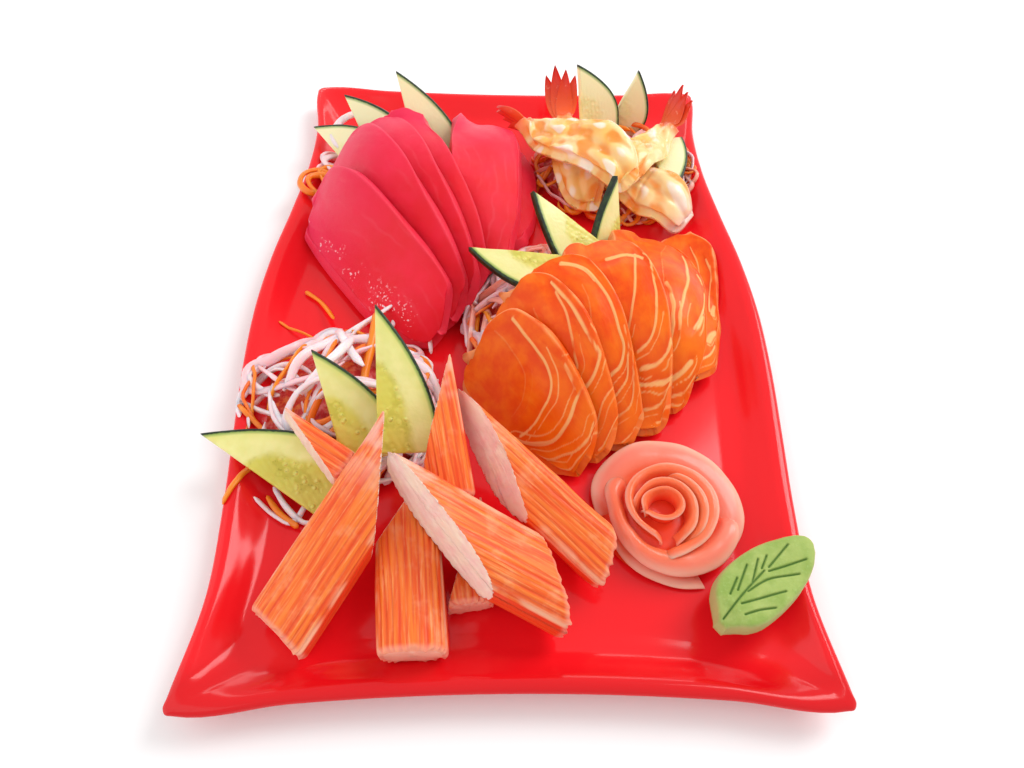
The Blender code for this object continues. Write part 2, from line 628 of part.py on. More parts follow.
def main():
    for old in list(bpy.data.objects):
        bpy.data.objects.remove(old)
    red = material("red_glaze", (0.93, 0.11, 0.13), 0.15)
    tuna = material("tuna", (0.90, 0.16, 0.27), 0.3)
    salmon = material("salmon", (0.95, 0.47, 0.13), 0.3)
    prawn = material("prawn", (0.96, 0.66, 0.40), 0.4)
    crab = material("crab_stick", (0.96, 0.45, 0.22), 0.45)
    cucumber = material("cucumber", (0.84, 0.86, 0.55), 0.35)
    shreds = material("shreds", (0.97, 0.82, 0.84), 0.4)
    ginger = material("ginger", (0.98, 0.47, 0.38), 0.35)
    wasabi = material("wasabi", (0.58, 0.74, 0.42), 0.6)

    solid = Pile(-100.0)
    plate_top = Pile(-100.0)
    under = Pile(1000.0)
    plate = make_plate(red)
    plate_top.put(*plate)
    solid.put(*plate)
    solid = raise_by(solid, lambda name, x, y: FLOOR_TOP + GAP + HEAP_RIM + HEAP_PAD + 0 * x)

    def put(name, points, faces, look):
        add_object(name, points, faces, look)
        solid.put(points, faces)
        under.put(points, faces)

    def put_cucumbers(group, first=1, last=3):
        for number in range(first, last + 1):
            put(f"cucumber_{group}_{number}", *cucumber_slice(*CUCUMBERS[group][number - 1]), cucumber)

    def put_slab(name, plan, thickness_of, look, rest=drape):
        under_side = rest(plan, raise_by(solid, heap_height))
        add_slab(name, plan[::2, ::2], under_side, thickness_of(*under_side.shape), look, (solid, under))

    for number, place in enumerate(FLAT_STICKS, 1):
        put(f"crab_stick_{number}", *crab_stick(*place), crab)
    put_cucumbers("crab")
    for number, place in enumerate(LEANING_STICKS, len(FLAT_STICKS) + 1):
        put(f"crab_stick_{number}", *crab_stick(*place), crab)

    put_cucumbers("tuna")
    for number, place in enumerate(TUNA):
        put_slab(f"tuna_slice_{len(TUNA) - number}", slice_plan(*place, 17, 11, TUNA_ROUND),
                 lambda r, c: TUNA_THICK * edge_profile(r, c), tuna)

    put_cucumbers("salmon")
    for number, place in enumerate(SALMON):
        put_slab(f"salmon_slice_{len(SALMON) - number}", slice_plan(*place, 17, 11, SALMON_ROUND),
                 lambda r, c: SALMON_THICK * edge_profile(r, c), salmon)

    put_cucumbers("prawn", 3, 3)
    for number, (head, tail, held_up) in enumerate(PRAWNS, 1):
        put_slab(f"prawn_{number}", prawn_plan(head, tail, 33, 9), prawn_thickness, prawn,
                 lambda plan, ground: laid(plan, ground, held_up))
    put_cucumbers("prawn", 1, 2)

    make_rose(ginger)
    make_leaf(solid, wasabi)
    for name in HEAPS:
        make_heap(name, plate_top, under, shreds)


main()
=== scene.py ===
"""Looks for a plate of mixed sashimi: a red glazed plate, two fans of sliced fish, prawns, crab sticks,
cucumber, shredded radish and carrot, a rose of pickled ginger and a carved leaf of wasabi.

Every piece of food is made again, finer, on its solid from the frame. Lengths inside the makers are in
millimetres and turn to metres in add_piece.
"""

import math

import bmesh
import bpy
import numpy as np
from mathutils import Matrix, Vector
from mathutils.bvhtree import BVHTree


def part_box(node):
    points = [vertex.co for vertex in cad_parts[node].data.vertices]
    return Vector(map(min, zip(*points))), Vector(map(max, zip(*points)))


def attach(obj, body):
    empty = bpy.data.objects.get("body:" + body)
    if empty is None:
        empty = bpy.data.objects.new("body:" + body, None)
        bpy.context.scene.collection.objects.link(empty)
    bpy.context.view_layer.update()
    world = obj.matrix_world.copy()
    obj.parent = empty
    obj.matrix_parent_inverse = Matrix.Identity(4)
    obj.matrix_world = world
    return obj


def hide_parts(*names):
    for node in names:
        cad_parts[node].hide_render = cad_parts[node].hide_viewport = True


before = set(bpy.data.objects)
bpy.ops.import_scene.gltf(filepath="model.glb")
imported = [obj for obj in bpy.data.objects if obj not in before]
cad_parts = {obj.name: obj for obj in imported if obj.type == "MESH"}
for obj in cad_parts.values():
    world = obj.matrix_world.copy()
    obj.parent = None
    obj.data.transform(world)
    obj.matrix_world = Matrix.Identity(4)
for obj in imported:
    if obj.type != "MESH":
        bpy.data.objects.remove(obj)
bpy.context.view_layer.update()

MM = 0.001


# ---------------------------------------------------------------- shaders


def linear(colour):
    """A colour given as sRGB from 0 to 255, as the linear values that a shader takes."""
    share = np.array(colour) / 255
    return (*np.where(share <= 0.04045, share / 12.92, ((share + 0.055) / 1.055) ** 2.4), 1.0)


class Flow:
    """A value on its way through a material. Sums on it add Math nodes."""

    def __init__(self, look, socket):
        self.look = look
        self.socket = socket

    def math(self, operation, *values):
        return self.look.node("Math", {"operation": operation}, dict(enumerate(values)))

    def __add__(self, other):
        return self.math("ADD", self, other)

    def __radd__(self, other):
        return self.math("ADD", other, self)

    def __sub__(self, other):
        return self.math("SUBTRACT", self, other)

    def __rsub__(self, other):
        return self.math("SUBTRACT", other, self)

    def __mul__(self, other):
        return self.math("MULTIPLY", self, other)

    def __rmul__(self, other):
        return self.math("MULTIPLY", other, self)

    def size(self):
        return self.math("ABSOLUTE", self)

    def fraction(self):
        return self.math("FRACT", self)

    def at_most(self, other):
        return self.math("MINIMUM", self, other)

    def rise(self, low, high):
        """0 below low, 1 above high, with a soft step between them."""
        ends = {"Value": self, "From Min": low, "From Max": high}
        return self.look.node("MapRange", {"interpolation_type": "SMOOTHSTEP"}, ends)

    def fall(self, low, high):
        """1 below low, 0 above high."""
        return 1 - self.rise(low, high)

    def to_line(self):
        """How far a rising count is from the nearest whole number, from 0 to 0.5."""
        return ((self + 0.5).fraction() - 0.5).size()


class Look:
    """A material under construction."""

    def __init__(self, name):
        self.made = bpy.data.materials.new(name)
        self.made.use_nodes = True
        self.tree = self.made.node_tree
        self.shader = self.tree.nodes["Principled BSDF"]

    def node(self, kind, settings=None, inputs=None, output=0):
        made = self.tree.nodes.new("ShaderNode" + kind)
        for name, value in (settings or {}).items():
            setattr(made, name, value)
        for key, value in (inputs or {}).items():
            self.feed(made.inputs[key], value)
        return Flow(self, made.outputs[output])

    def feed(self, socket, value):
        if isinstance(value, Flow):
            self.tree.links.new(value.socket, socket)
        else:
            socket.default_value = value

    def place(self):
        """Object coordinates."""
        return self.node("TexCoord", output="Object")

    def attribute(self, name):
        return self.node("Attribute", {"attribute_name": name}, output="Fac")

    def noise(self, period, detail=2.0, rough=0.5, where=None, stretch=(1, 1, 1)):
        """Noise from 0 to 1 whose lumps are about one period (millimetres) across."""
        where = self.place() if where is None else where
        scaled = self.node("Mapping", {}, {"Vector": where, "Scale": stretch})
        sizes = {"Vector": scaled, "Scale": 1 / (period * MM), "Detail": detail, "Roughness": rough}
        return self.node("TexNoise", {}, sizes)

    def pair(self, x, y):
        return self.node("CombineXYZ", {}, {"X": x, "Y": y})

    def mix(self, share, one, other):
        """one where share is 0, other where it is 1. Colours are sRGB, or come from another mix."""
        ends = [c if isinstance(c, Flow) else linear(c) for c in (one, other)]
        return self.node("Mix", {"data_type": "RGBA"}, {0: share, 6: ends[0], 7: ends[1]}, 2)

    def bump(self, height, depth, under=None):
        """A normal for relief of that depth in millimetres where height goes from 0 to 1."""
        inputs = {"Height": height, "Distance": depth * MM, "Strength": 1.0}
        if under is not None:
            inputs["Normal"] = under
        return self.node("Bump", {}, inputs)

    def finish(self, colour, roughness, normal=None, **fixed):
        """Feeds the shader and returns the material. fixed holds values that are the same all over."""
        base = colour if isinstance(colour, Flow) else linear(colour)
        self.feed(self.shader.inputs["Base Color"], base)
        self.feed(self.shader.inputs["Roughness"], roughness)
        if normal is not None:
            self.feed(self.shader.inputs["Normal"], normal)
        for name, value in fixed.items():
            self.shader.inputs[name.replace("_", " ").title().replace("Ior", "IOR")].default_value = value
        return self.made


def juicy(look, colour, roughness, normal, weight, depth, shine=0.5):
    """Moist flesh: light goes a few millimetres in and comes out redder."""
    return look.finish(colour, roughness, normal, subsurface_weight=weight,
                       subsurface_radius=(1.0, 0.45, 0.3), subsurface_scale=depth * MM,
                       specular_ior_level=shine)


def glaze_look():
    look = Look("red_glaze")
    pooled = look.noise(60, 2)
    colour = look.mix(pooled, (240, 20, 30), (248, 30, 38))
    # painted shade: a darker red towards the front lip
    colour = look.mix(look.attribute("front") * 0.8, colour, (214, 12, 20))
    ripple = look.noise(45, 1)
    speck = look.noise(2.2, 2)
    normal = look.bump(speck, 0.006, look.bump(ripple, 0.25))
    return look.finish(colour, 0.1 + 0.06 * pooled, normal, specular_ior_level=0.34)


def tuna_look():
    look = Look("tuna_flesh")
    grain = look.attribute("grain")
    seam = (grain + look.noise(14, 3) * 1.2).to_line().fall(0.02, 0.14)
    cloud = look.noise(11, 3, 0.6)
    far = look.attribute("far")
    colour = look.mix(cloud.rise(0.3, 0.75), (240, 10, 36), (246, 20, 54))
    # painted sheen: more magenta towards each slice's far end
    colour = look.mix(far.rise(0.35, 1.0) * 0.55, colour, (246, 44, 104))
    colour = look.mix(seam * look.noise(20, 1).rise(0.45, 0.7) * 0.22, colour, (252, 96, 112))
    # painted highlight: paler pink along the rounded edges
    rim = look.attribute("edge").fall(0.1, 1.1)
    colour = look.mix(rim * 0.3, colour, (255, 92, 122))
    # painted glints: near-white specks on the first slice, standing in for wet highlights
    wet = look.noise(1.3, 2, 0.5).rise(0.6, 0.66) * look.noise(9, 2).rise(0.5, 0.56) * look.attribute("wet")
    colour = look.mix(wet * 0.85, colour, (255, 226, 236))
    strands = look.noise(1.1, 2, 0.5, look.pair(grain * 0.02, look.attribute("along") * 0.12))
    normal = look.bump(strands, 0.1, look.bump(look.noise(3.5, 3), 0.22))
    return juicy(look, colour, 0.25 + 0.16 * cloud, normal, 0.2, 2.5, 0.3)


def salmon_look():
    look = Look("salmon_flesh")
    along, across = look.attribute("along"), look.attribute("across")
    line = look.attribute("line") * look.noise(12, 2).rise(0.22, 0.42)
    cloud = look.noise(8, 3, 0.6)
    colour = look.mix(cloud.rise(0.3, 0.75), (238, 78, 6), (250, 112, 12))
    colour = look.mix(look.attribute("far").fall(0.15, 0.6) * 0.5, colour, (252, 130, 24))
    # painted shade: darker orange on the low side of each flake line, where the flake steps down
    colour = look.mix(look.attribute("tone").rise(0.1, 0.9) * 0.5, colour, (228, 58, 4))
    faint = look.noise(5.0, 3, 0.55, look.pair(across * 0.001, along * 0.00025))
    colour = look.mix(faint.rise(0.52, 0.66) * 0.3, colour, (252, 140, 40))
    colour = look.mix(line.rise(0.1, 0.85) * 0.9, colour, (255, 196, 124))
    border = look.attribute("edge").fall(0.15, 1.0) * look.noise(8, 2).rise(0.3, 0.6)
    far = look.attribute("far").rise(0.45, 0.95)
    colour = look.mix((border * (0.25 + far)).at_most(0.7), colour, (252, 170, 112))
    fibres = look.noise(1.0, 2, 0.5, look.pair(across * 0.001, along * 0.0002))
    normal = look.bump(fibres, 0.1, look.bump(look.noise(4, 2), 0.12))
    return juicy(look, colour, 0.36 - 0.1 * line, normal, 0.2, 3.0, 0.2)


def prawn_look():
    look = Look("prawn_meat")
    along, across = look.attribute("along"), look.attribute("across")
    drawn = look.pair(across * 0.001, along * 0.00055)
    blotch = look.noise(15, 2, 0.4)
    colour = look.mix(blotch.rise(0.35, 0.65), (255, 198, 106), (255, 220, 158))
    height = look.attribute("fold") + (look.noise(6.5, 2, 0.45, drawn) - 0.5) * 1.2
    # painted shade, partly the meat's own colour: deeper orange in the hollows of the folds
    colour = look.mix(height.fall(-0.6, -0.1) * 0.85, colour, (250, 148, 40))
    # painted highlight, partly the meat's own colour: paler crests of the folds
    colour = look.mix(height.rise(0.3, 0.7) * 0.85, colour, (255, 238, 220))
    vein = look.noise(9, 2, 0.5).to_line().fall(0.015, 0.05) * look.noise(17, 1).rise(0.5, 0.6)
    colour = look.mix(vein * 0.6, colour, (238, 110, 34))
    colour = look.mix(look.attribute("head") * 0.8, colour, (252, 212, 206))
    colour = look.mix(look.attribute("tail"), colour, (242, 92, 44))
    normal = look.bump(look.noise(3.4, 2), 0.16)
    return juicy(look, colour, 0.24, normal, 0.3, 3.0, 0.5)


def tail_look():
    look = Look("prawn_tail_shell")
    rib = look.noise(1.0, 2, 0.5, look.place(), (3, 1, 1))
    colour = look.mix(look.attribute("far").rise(0.2, 0.9), (248, 104, 48), (230, 48, 34))
    colour = look.mix(look.noise(3.5, 3).rise(0.62, 0.75) * 0.5, colour, (255, 190, 150))
    return look.finish(colour, 0.16, look.bump(rib, 0.15), specular_ior_level=0.5)


def crab_look():
    look = Look("crab_stick_surimi")
    around, along = look.attribute("around"), look.attribute("along")
    upright, tip = look.attribute("upright"), look.attribute("tip")
    place = look.pair(around * 0.001, along * 0.00006)
    thread = look.noise(0.8, 3, 0.6, place)
    stripe = look.noise(1.9, 2, 0.5, place)
    worn = look.noise(9, 3, 0.6)
    colour = look.mix(stripe.rise(0.32, 0.66), (240, 84, 26), (252, 128, 44))
    colour = look.mix(thread.rise(0.5, 0.72) * 0.6, colour, (255, 176, 112))
    # painted shade: deeper red in the bottoms of the grooves
    colour = look.mix(look.attribute("groove").fall(0.1, 0.45) * 0.45, colour, (226, 58, 26))
    colour = look.mix(worn.rise(0.52, 0.72) * stripe * 0.7, colour, (255, 178, 130))
    # painted shade: deeper red on the sides and underside, which face away from the light above
    side = upright.fall(0.35, 0.6)
    colour = look.mix(side * 0.75, colour, (242, 50, 26))
    # painted highlight: a broken pale band where the top turns into the side
    edge = upright.rise(0.4, 0.52) * upright.fall(0.6, 0.74) * look.noise(14, 2).rise(0.4, 0.6)
    colour = look.mix(edge * 0.75, colour, (255, 196, 160))
    pale = tip.rise(0.55, 1.0) * look.noise(7, 2).rise(0.35, 0.6)
    colour = look.mix(pale * 0.8, colour, (252, 196, 178))
    colour = look.mix(along.fall(0.3, 2.2) * 0.55, colour, (255, 178, 156))
    fleck = look.noise(3.2, 3, 0.65)
    inside = look.mix(fleck.rise(0.3, 0.7), (255, 224, 208), (252, 206, 196))
    inside = look.mix(look.noise(10, 2).rise(0.45, 0.65) * 0.6, inside, (255, 232, 206))
    inside = look.mix(along.fall(0.3, 2.2) * 0.7, inside, (255, 170, 140))
    skin = look.attribute("skin").rise(0.3, 0.7)
    colour = look.mix(skin, inside, colour)
    normal = look.bump(stripe, 0.25, look.bump(thread, 0.2))
    normal = look.bump(fleck * (1 - skin), 0.15, normal)
    return juicy(look, colour, 0.4, normal, 0.2, 2.0, 0.35)


def cucumber_look():
    look = Look("cucumber_flesh")
    depth = look.attribute("depth")
    core = look.attribute("core")
    spot = look.pair(look.attribute("along") * 0.001, look.attribute("across") * 0.001)
    flesh = look.mix(look.noise(6, 2).rise(0.3, 0.7), (230, 226, 140), (240, 234, 158))
    flesh = look.mix(depth.fall(1.5, 6.0) * 0.4, flesh, (214, 216, 108))
    flesh = look.mix((1 - look.attribute("seedy")) * 1.2, flesh, (250, 243, 196))
    wet = (core + (look.noise(5, 2) - 0.5) * 0.5).rise(0.3, 0.9) * look.attribute("seedy")
    flesh = look.mix(wet * 0.8, flesh, (216, 206, 66))
    seeds = look.node("TexVoronoi", {}, {"Vector": spot, "Scale": 420.0}, "Distance")
    cluster = wet * look.noise(7, 1).rise(0.45, 0.6)
    seed = seeds.fall(0.1, 0.42) * cluster
    flesh = look.mix(seed * 0.55, flesh, (240, 232, 130))
    flesh = look.mix(seeds.rise(0.38, 0.6) * cluster * 0.4, flesh, (176, 168, 30))
    flesh = look.mix(look.noise(1.4, 2).rise(0.6, 0.72) * cluster * 0.5, flesh, (150, 140, 26))
    skin = (depth + (look.noise(1.2, 2) - 0.5) * 0.5).fall(0.75, 1.25)
    rind = look.mix(look.noise(2.5, 2).rise(0.4, 0.7), (14, 34, 14), (40, 70, 26))
    colour = look.mix(depth.fall(1.0, 2.4) * 0.75, flesh, (104, 150, 48))
    colour = look.mix(skin, colour, rind)
    normal = look.bump(seed, 0.4, look.bump(look.noise(1.5, 2), 0.1))
    return juicy(look, colour, 0.3 + 0.1 * skin, normal, 0.3, 3.0, 0.45)


def radish_look():
    look = Look("radish_shreds")
    tone = look.attribute("tone")
    # the pink is partly the radish's own tint, partly painted reflection of the red plate
    colour = look.mix(tone.at_most(1), (255, 238, 240), (254, 198, 204))
    colour = look.mix(tone.rise(1.0, 1.9) * 0.85, colour, (252, 150, 118))
    colour = look.mix(look.noise(8, 2).rise(0.55, 0.75) * 0.6, colour, (255, 242, 246))
    return juicy(look, colour, 0.28, look.bump(look.noise(1.5, 2), 0.1), 0.5, 3.0, 0.5)


def carrot_look():
    look = Look("carrot_shreds")
    colour = look.mix(look.attribute("tone"), (255, 150, 30), (248, 100, 24))
    colour = look.mix(look.noise(6, 2).rise(0.55, 0.75) * 0.4, colour, (255, 184, 90))
    return juicy(look, colour, 0.32, look.bump(look.noise(1.2, 2), 0.1), 0.35, 2.0, 0.45)


def core_look():
    look = Look("shreds_underneath")
    tangle = look.noise(3, 3, 0.6)
    colour = look.mix(look.noise(9, 2).rise(0.42, 0.62), (240, 140, 140), (244, 138, 70))
    # painted shade: deep red in the hollows of the tangle
    colour = look.mix(tangle.fall(0.42, 0.66) * 0.9, colour, (214, 34, 34))
    return juicy(look, colour, 0.4, look.bump(tangle, 0.8), 0.3, 2.5, 0.4)


def ginger_look():
    look = Look("pickled_ginger")
    lip = look.attribute("lip")
    fibre = look.noise(1.4, 3, 0.5, look.pair(look.attribute("along") * 0.0004, lip * 0.01))
    outer = look.attribute("outer").rise(0.45, 0.95)
    face = look.mix(outer, (255, 116, 70), (255, 136, 116))
    # painted shade: deeper orange-red towards each petal's foot, between the petals
    colour = look.mix(lip.rise(0.0, 0.4), (250, 76, 42), face)
    # painted highlight, partly the thin lips' own paleness: pale lips
    colour = look.mix(lip.rise(0.72, 0.98) * 0.85, colour, (255, 198, 174))
    colour = look.mix(look.noise(10, 2).rise(0.5, 0.8) * 0.35, colour, (255, 160, 140))
    return juicy(look, colour, 0.22, look.bump(fibre, 0.14), 0.4, 3.0, 0.35)


def wasabi_look():
    look = Look("wasabi_paste")
    cut = look.attribute("cut")
    grit = look.noise(0.9, 3, 0.6)
    colour = look.mix(look.noise(6, 3).rise(0.3, 0.7), (146, 172, 84), (172, 190, 106))
    colour = look.mix(grit.rise(0.5, 0.8) * 0.3, colour, (190, 214, 140))
    colour = look.mix(look.attribute("side") * 0.75, colour, (188, 184, 124))
    # painted shade: dark green in the pressed veins
    colour = look.mix(cut * 0.9, colour, (70, 116, 48))
    return look.finish(colour, 0.75, look.bump(grit, 0.18), subsurface_weight=0.15,
                       subsurface_radius=(1.0, 0.8, 0.4), subsurface_scale=1.5 * MM,
                       specular_ior_level=0.25)


# ---------------------------------------------------------------- geometry helpers


def cad_mesh(node):
    """Points in millimetres and triangles of a solid in the frame, with shared corners merged."""
    shape = bmesh.new()
    shape.from_mesh(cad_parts[node].data)
    bmesh.ops.remove_doubles(shape, verts=shape.verts[:], dist=2e-5)
    shape.verts.index_update()
    points = np.array([tuple(v.co) for v in shape.verts]) / MM
    faces = np.array([[v.index for v in f.verts] for f in shape.faces])
    shape.free()
    return points, faces


def joined(parts):
    """Points and faces of separate parts as one mesh. The faces all have as many corners as each other."""
    points, faces, first = [], [], 0
    for some, ones in parts:
        points.append(some)
        faces += (np.asarray(ones) + first).tolist()
        first += len(some)
    return np.concatenate(points), faces


def solid_tree(*nodes):
    """A tree of triangles for casting rays at solids of the frame."""
    points, faces = joined(cad_mesh(node) for node in nodes)
    return BVHTree.FromPolygons(points.tolist(), faces)


def heights(tree, x, y, start, way):
    """Where upright rays from height start first meet a tree; NaN where they miss. way is 1 up, -1 down."""
    x, y, start = np.broadcast_arrays(x, y, start)
    found = np.full(x.shape, np.nan)
    for k in np.ndindex(x.shape):
        hit = tree.ray_cast(Vector((x[k], y[k], start[k])), Vector((0, 0, way)))[0]
        if hit:
            found[k] = hit.z
    return found


def filled(field):
    """A grid whose missing values are read off its rows, then off its columns."""
    for grid in (field, field.T):
        for row in grid:
            known = ~np.isnan(row)
            if known.any() and not known.all():
                row[~known] = np.interp(np.flatnonzero(~known), np.flatnonzero(known), row[known])
    return field


def evened(field, rounds):
    """A grid smoothed, its borders carried on straight."""
    for _ in range(rounds):
        rim = ((1, 1), (1, 1)) + ((0, 0),) * (field.ndim - 2)
        wide = np.pad(field, rim, "reflect", reflect_type="odd")
        around = wide[:-2, 1:-1] + wide[2:, 1:-1] + wide[1:-1, :-2] + wide[1:-1, 2:]
        field = (around + 4 * field) / 8
    return field


def between(field, at):
    """Reads a field at fractions of its rows, along a smooth curve through them."""
    at = np.clip(at, 0, len(field) - 1)
    k = np.minimum(at.astype(int), len(field) - 2)
    t = (at - k).reshape((-1,) + (1,) * (field.ndim - 1))
    before, here, after = field[np.maximum(k - 1, 0)], field[k], field[k + 1]
    beyond = field[np.minimum(k + 2, len(field) - 1)]
    bend = 2 * before - 5 * here + 4 * after - beyond + t * (3 * (here - after) + beyond - before)
    return here + 0.5 * t * (after - before + t * bend)


def smooth_line(corners, count):
    """That many points along a smooth curve through the corners."""
    return between(np.array(corners, float), np.linspace(0, len(corners) - 1, count))


def circle(count):
    """Points round a circle of radius 1, seen from above."""
    turn = np.linspace(0, 2 * math.pi, count, endpoint=False)
    return np.stack([np.cos(turn), np.sin(turn)], -1)


def finer(field, rows_at, columns_at):
    return np.swapaxes(between(np.swapaxes(between(field, rows_at), 0, 1), columns_at), 0, 1)


def unit(vectors):
    return vectors / np.maximum(np.linalg.norm(vectors, axis=-1, keepdims=True), 1e-9)


def surface_normals(grid):
    made = unit(np.cross(np.gradient(grid, axis=0), np.gradient(grid, axis=1)))
    return made * np.where(made[..., 2:] < 0, -1, 1)


def lumps(place, period, seed):
    """Smooth uneven numbers from -1 to 1 over points in millimetres: a sum of slanting waves."""
    rng = np.random.default_rng(seed)
    total = 0
    for _ in range(7):
        way = unit(rng.normal(size=3))
        total = total + np.sin(place @ way * (2 * math.pi / (period * rng.uniform(0.7, 1.5)))
                               + rng.uniform(0, 2 * math.pi))
    return total / 4


def rounded_off(edge, radius):
    """How far a side rounded with that radius falls back at a distance from its edge."""
    within = np.clip(edge / radius, 0, 1)
    return radius * (1 - np.sqrt(1 - (1 - within) ** 2))


def grid_faces(rows, columns):
    i, j = np.mgrid[0:rows - 1, 0:columns - 1].reshape(2, -1)
    a, b = i * columns + j, (i + 1) * columns + j
    return np.stack([a, b, b + 1, a + 1], 1)


def border(rows, columns):
    """The points round the outside of a grid, in order."""
    return np.concatenate([
        np.arange(columns), np.arange(1, rows) * columns + columns - 1,
        (rows - 1) * columns + np.arange(columns - 2, -1, -1), np.arange(rows - 2, 0, -1) * columns,
    ])


def slab_faces(rows, columns):
    """Faces of an upper grid, a lower grid whose points come second, and the edge between them."""
    second = rows * columns
    upper, edge = grid_faces(rows, columns), border(rows, columns)
    after = np.roll(edge, -1)
    wall = np.stack([edge, after, after + second, edge + second], 1)
    return np.concatenate([upper, upper[:, [0, 3, 2, 1]] + second, wall]).tolist()


def ring_faces(rings, count):
    """Faces of a tube of rings, closed by one face at each end."""
    k = np.arange(count)
    after = (k + 1) % count
    faces = [np.stack([r * count + k, r * count + after, (r + 1) * count + after, (r + 1) * count + k], 1)
             for r in range(rings - 1)]
    ends = [k[::-1].tolist(), (k + (rings - 1) * count).tolist()]
    return np.concatenate(faces).tolist() + ends


def placed(name, data):
    """A new object in the scene."""
    made = bpy.data.objects.new(name, data)
    bpy.context.scene.collection.objects.link(made)
    return made


def write_values(mesh, values):
    """Stores numbers on a mesh's points."""
    for key, numbers in values.items():
        layer = mesh.attributes.new(key, "FLOAT", "POINT")
        layer.data.foreach_set("value", np.asarray(numbers, np.float32).ravel())


def add_piece(name, points, faces, look, nodes=(), values=None):
    """Makes one smooth piece from points in millimetres. values are numbers that its look reads."""
    mesh = bpy.data.meshes.new(name)
    mesh.from_pydata((np.asarray(points, float).reshape(-1, 3) * MM).tolist(), [], faces)
    write_values(mesh, values or {})
    shape = bmesh.new()
    shape.from_mesh(mesh)
    bmesh.ops.recalc_face_normals(shape, faces=shape.faces[:])
    if shape.calc_volume(signed=True) < 0:
        bmesh.ops.reverse_faces(shape, faces=shape.faces[:])
    shape.to_mesh(mesh)
    shape.free()
    mesh.shade_smooth()
    mesh.materials.append(look)
    made = placed(name, mesh)
    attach(made, "root")
    if nodes:
        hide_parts(*nodes)


def two_sides(upper, lower):
    """The points of two grids, the upper one's first."""
    return np.concatenate([upper.reshape(-1, 3), lower.reshape(-1, 3)])


def add_slab(name, upper, lower, look, node, values):
    """A piece between two grids of points, closed round its edge."""
    size = upper.shape[:2]
    shared = {key: np.tile(np.broadcast_to(field, size).ravel(), 2) for key, field in values.items()}
    add_piece(name, two_sides(upper, lower), slab_faces(*size), look, [node], shared)


def spaced(low, high, count, steps):
    """Even steps from low to high, with extra ones at the given distances from both ends."""
    steps = np.array(steps)
    inner = np.linspace(low + steps[-1], high - steps[-1], count)
    return np.concatenate([low + steps[:-1], inner, (high - steps[:-1])[::-1]])


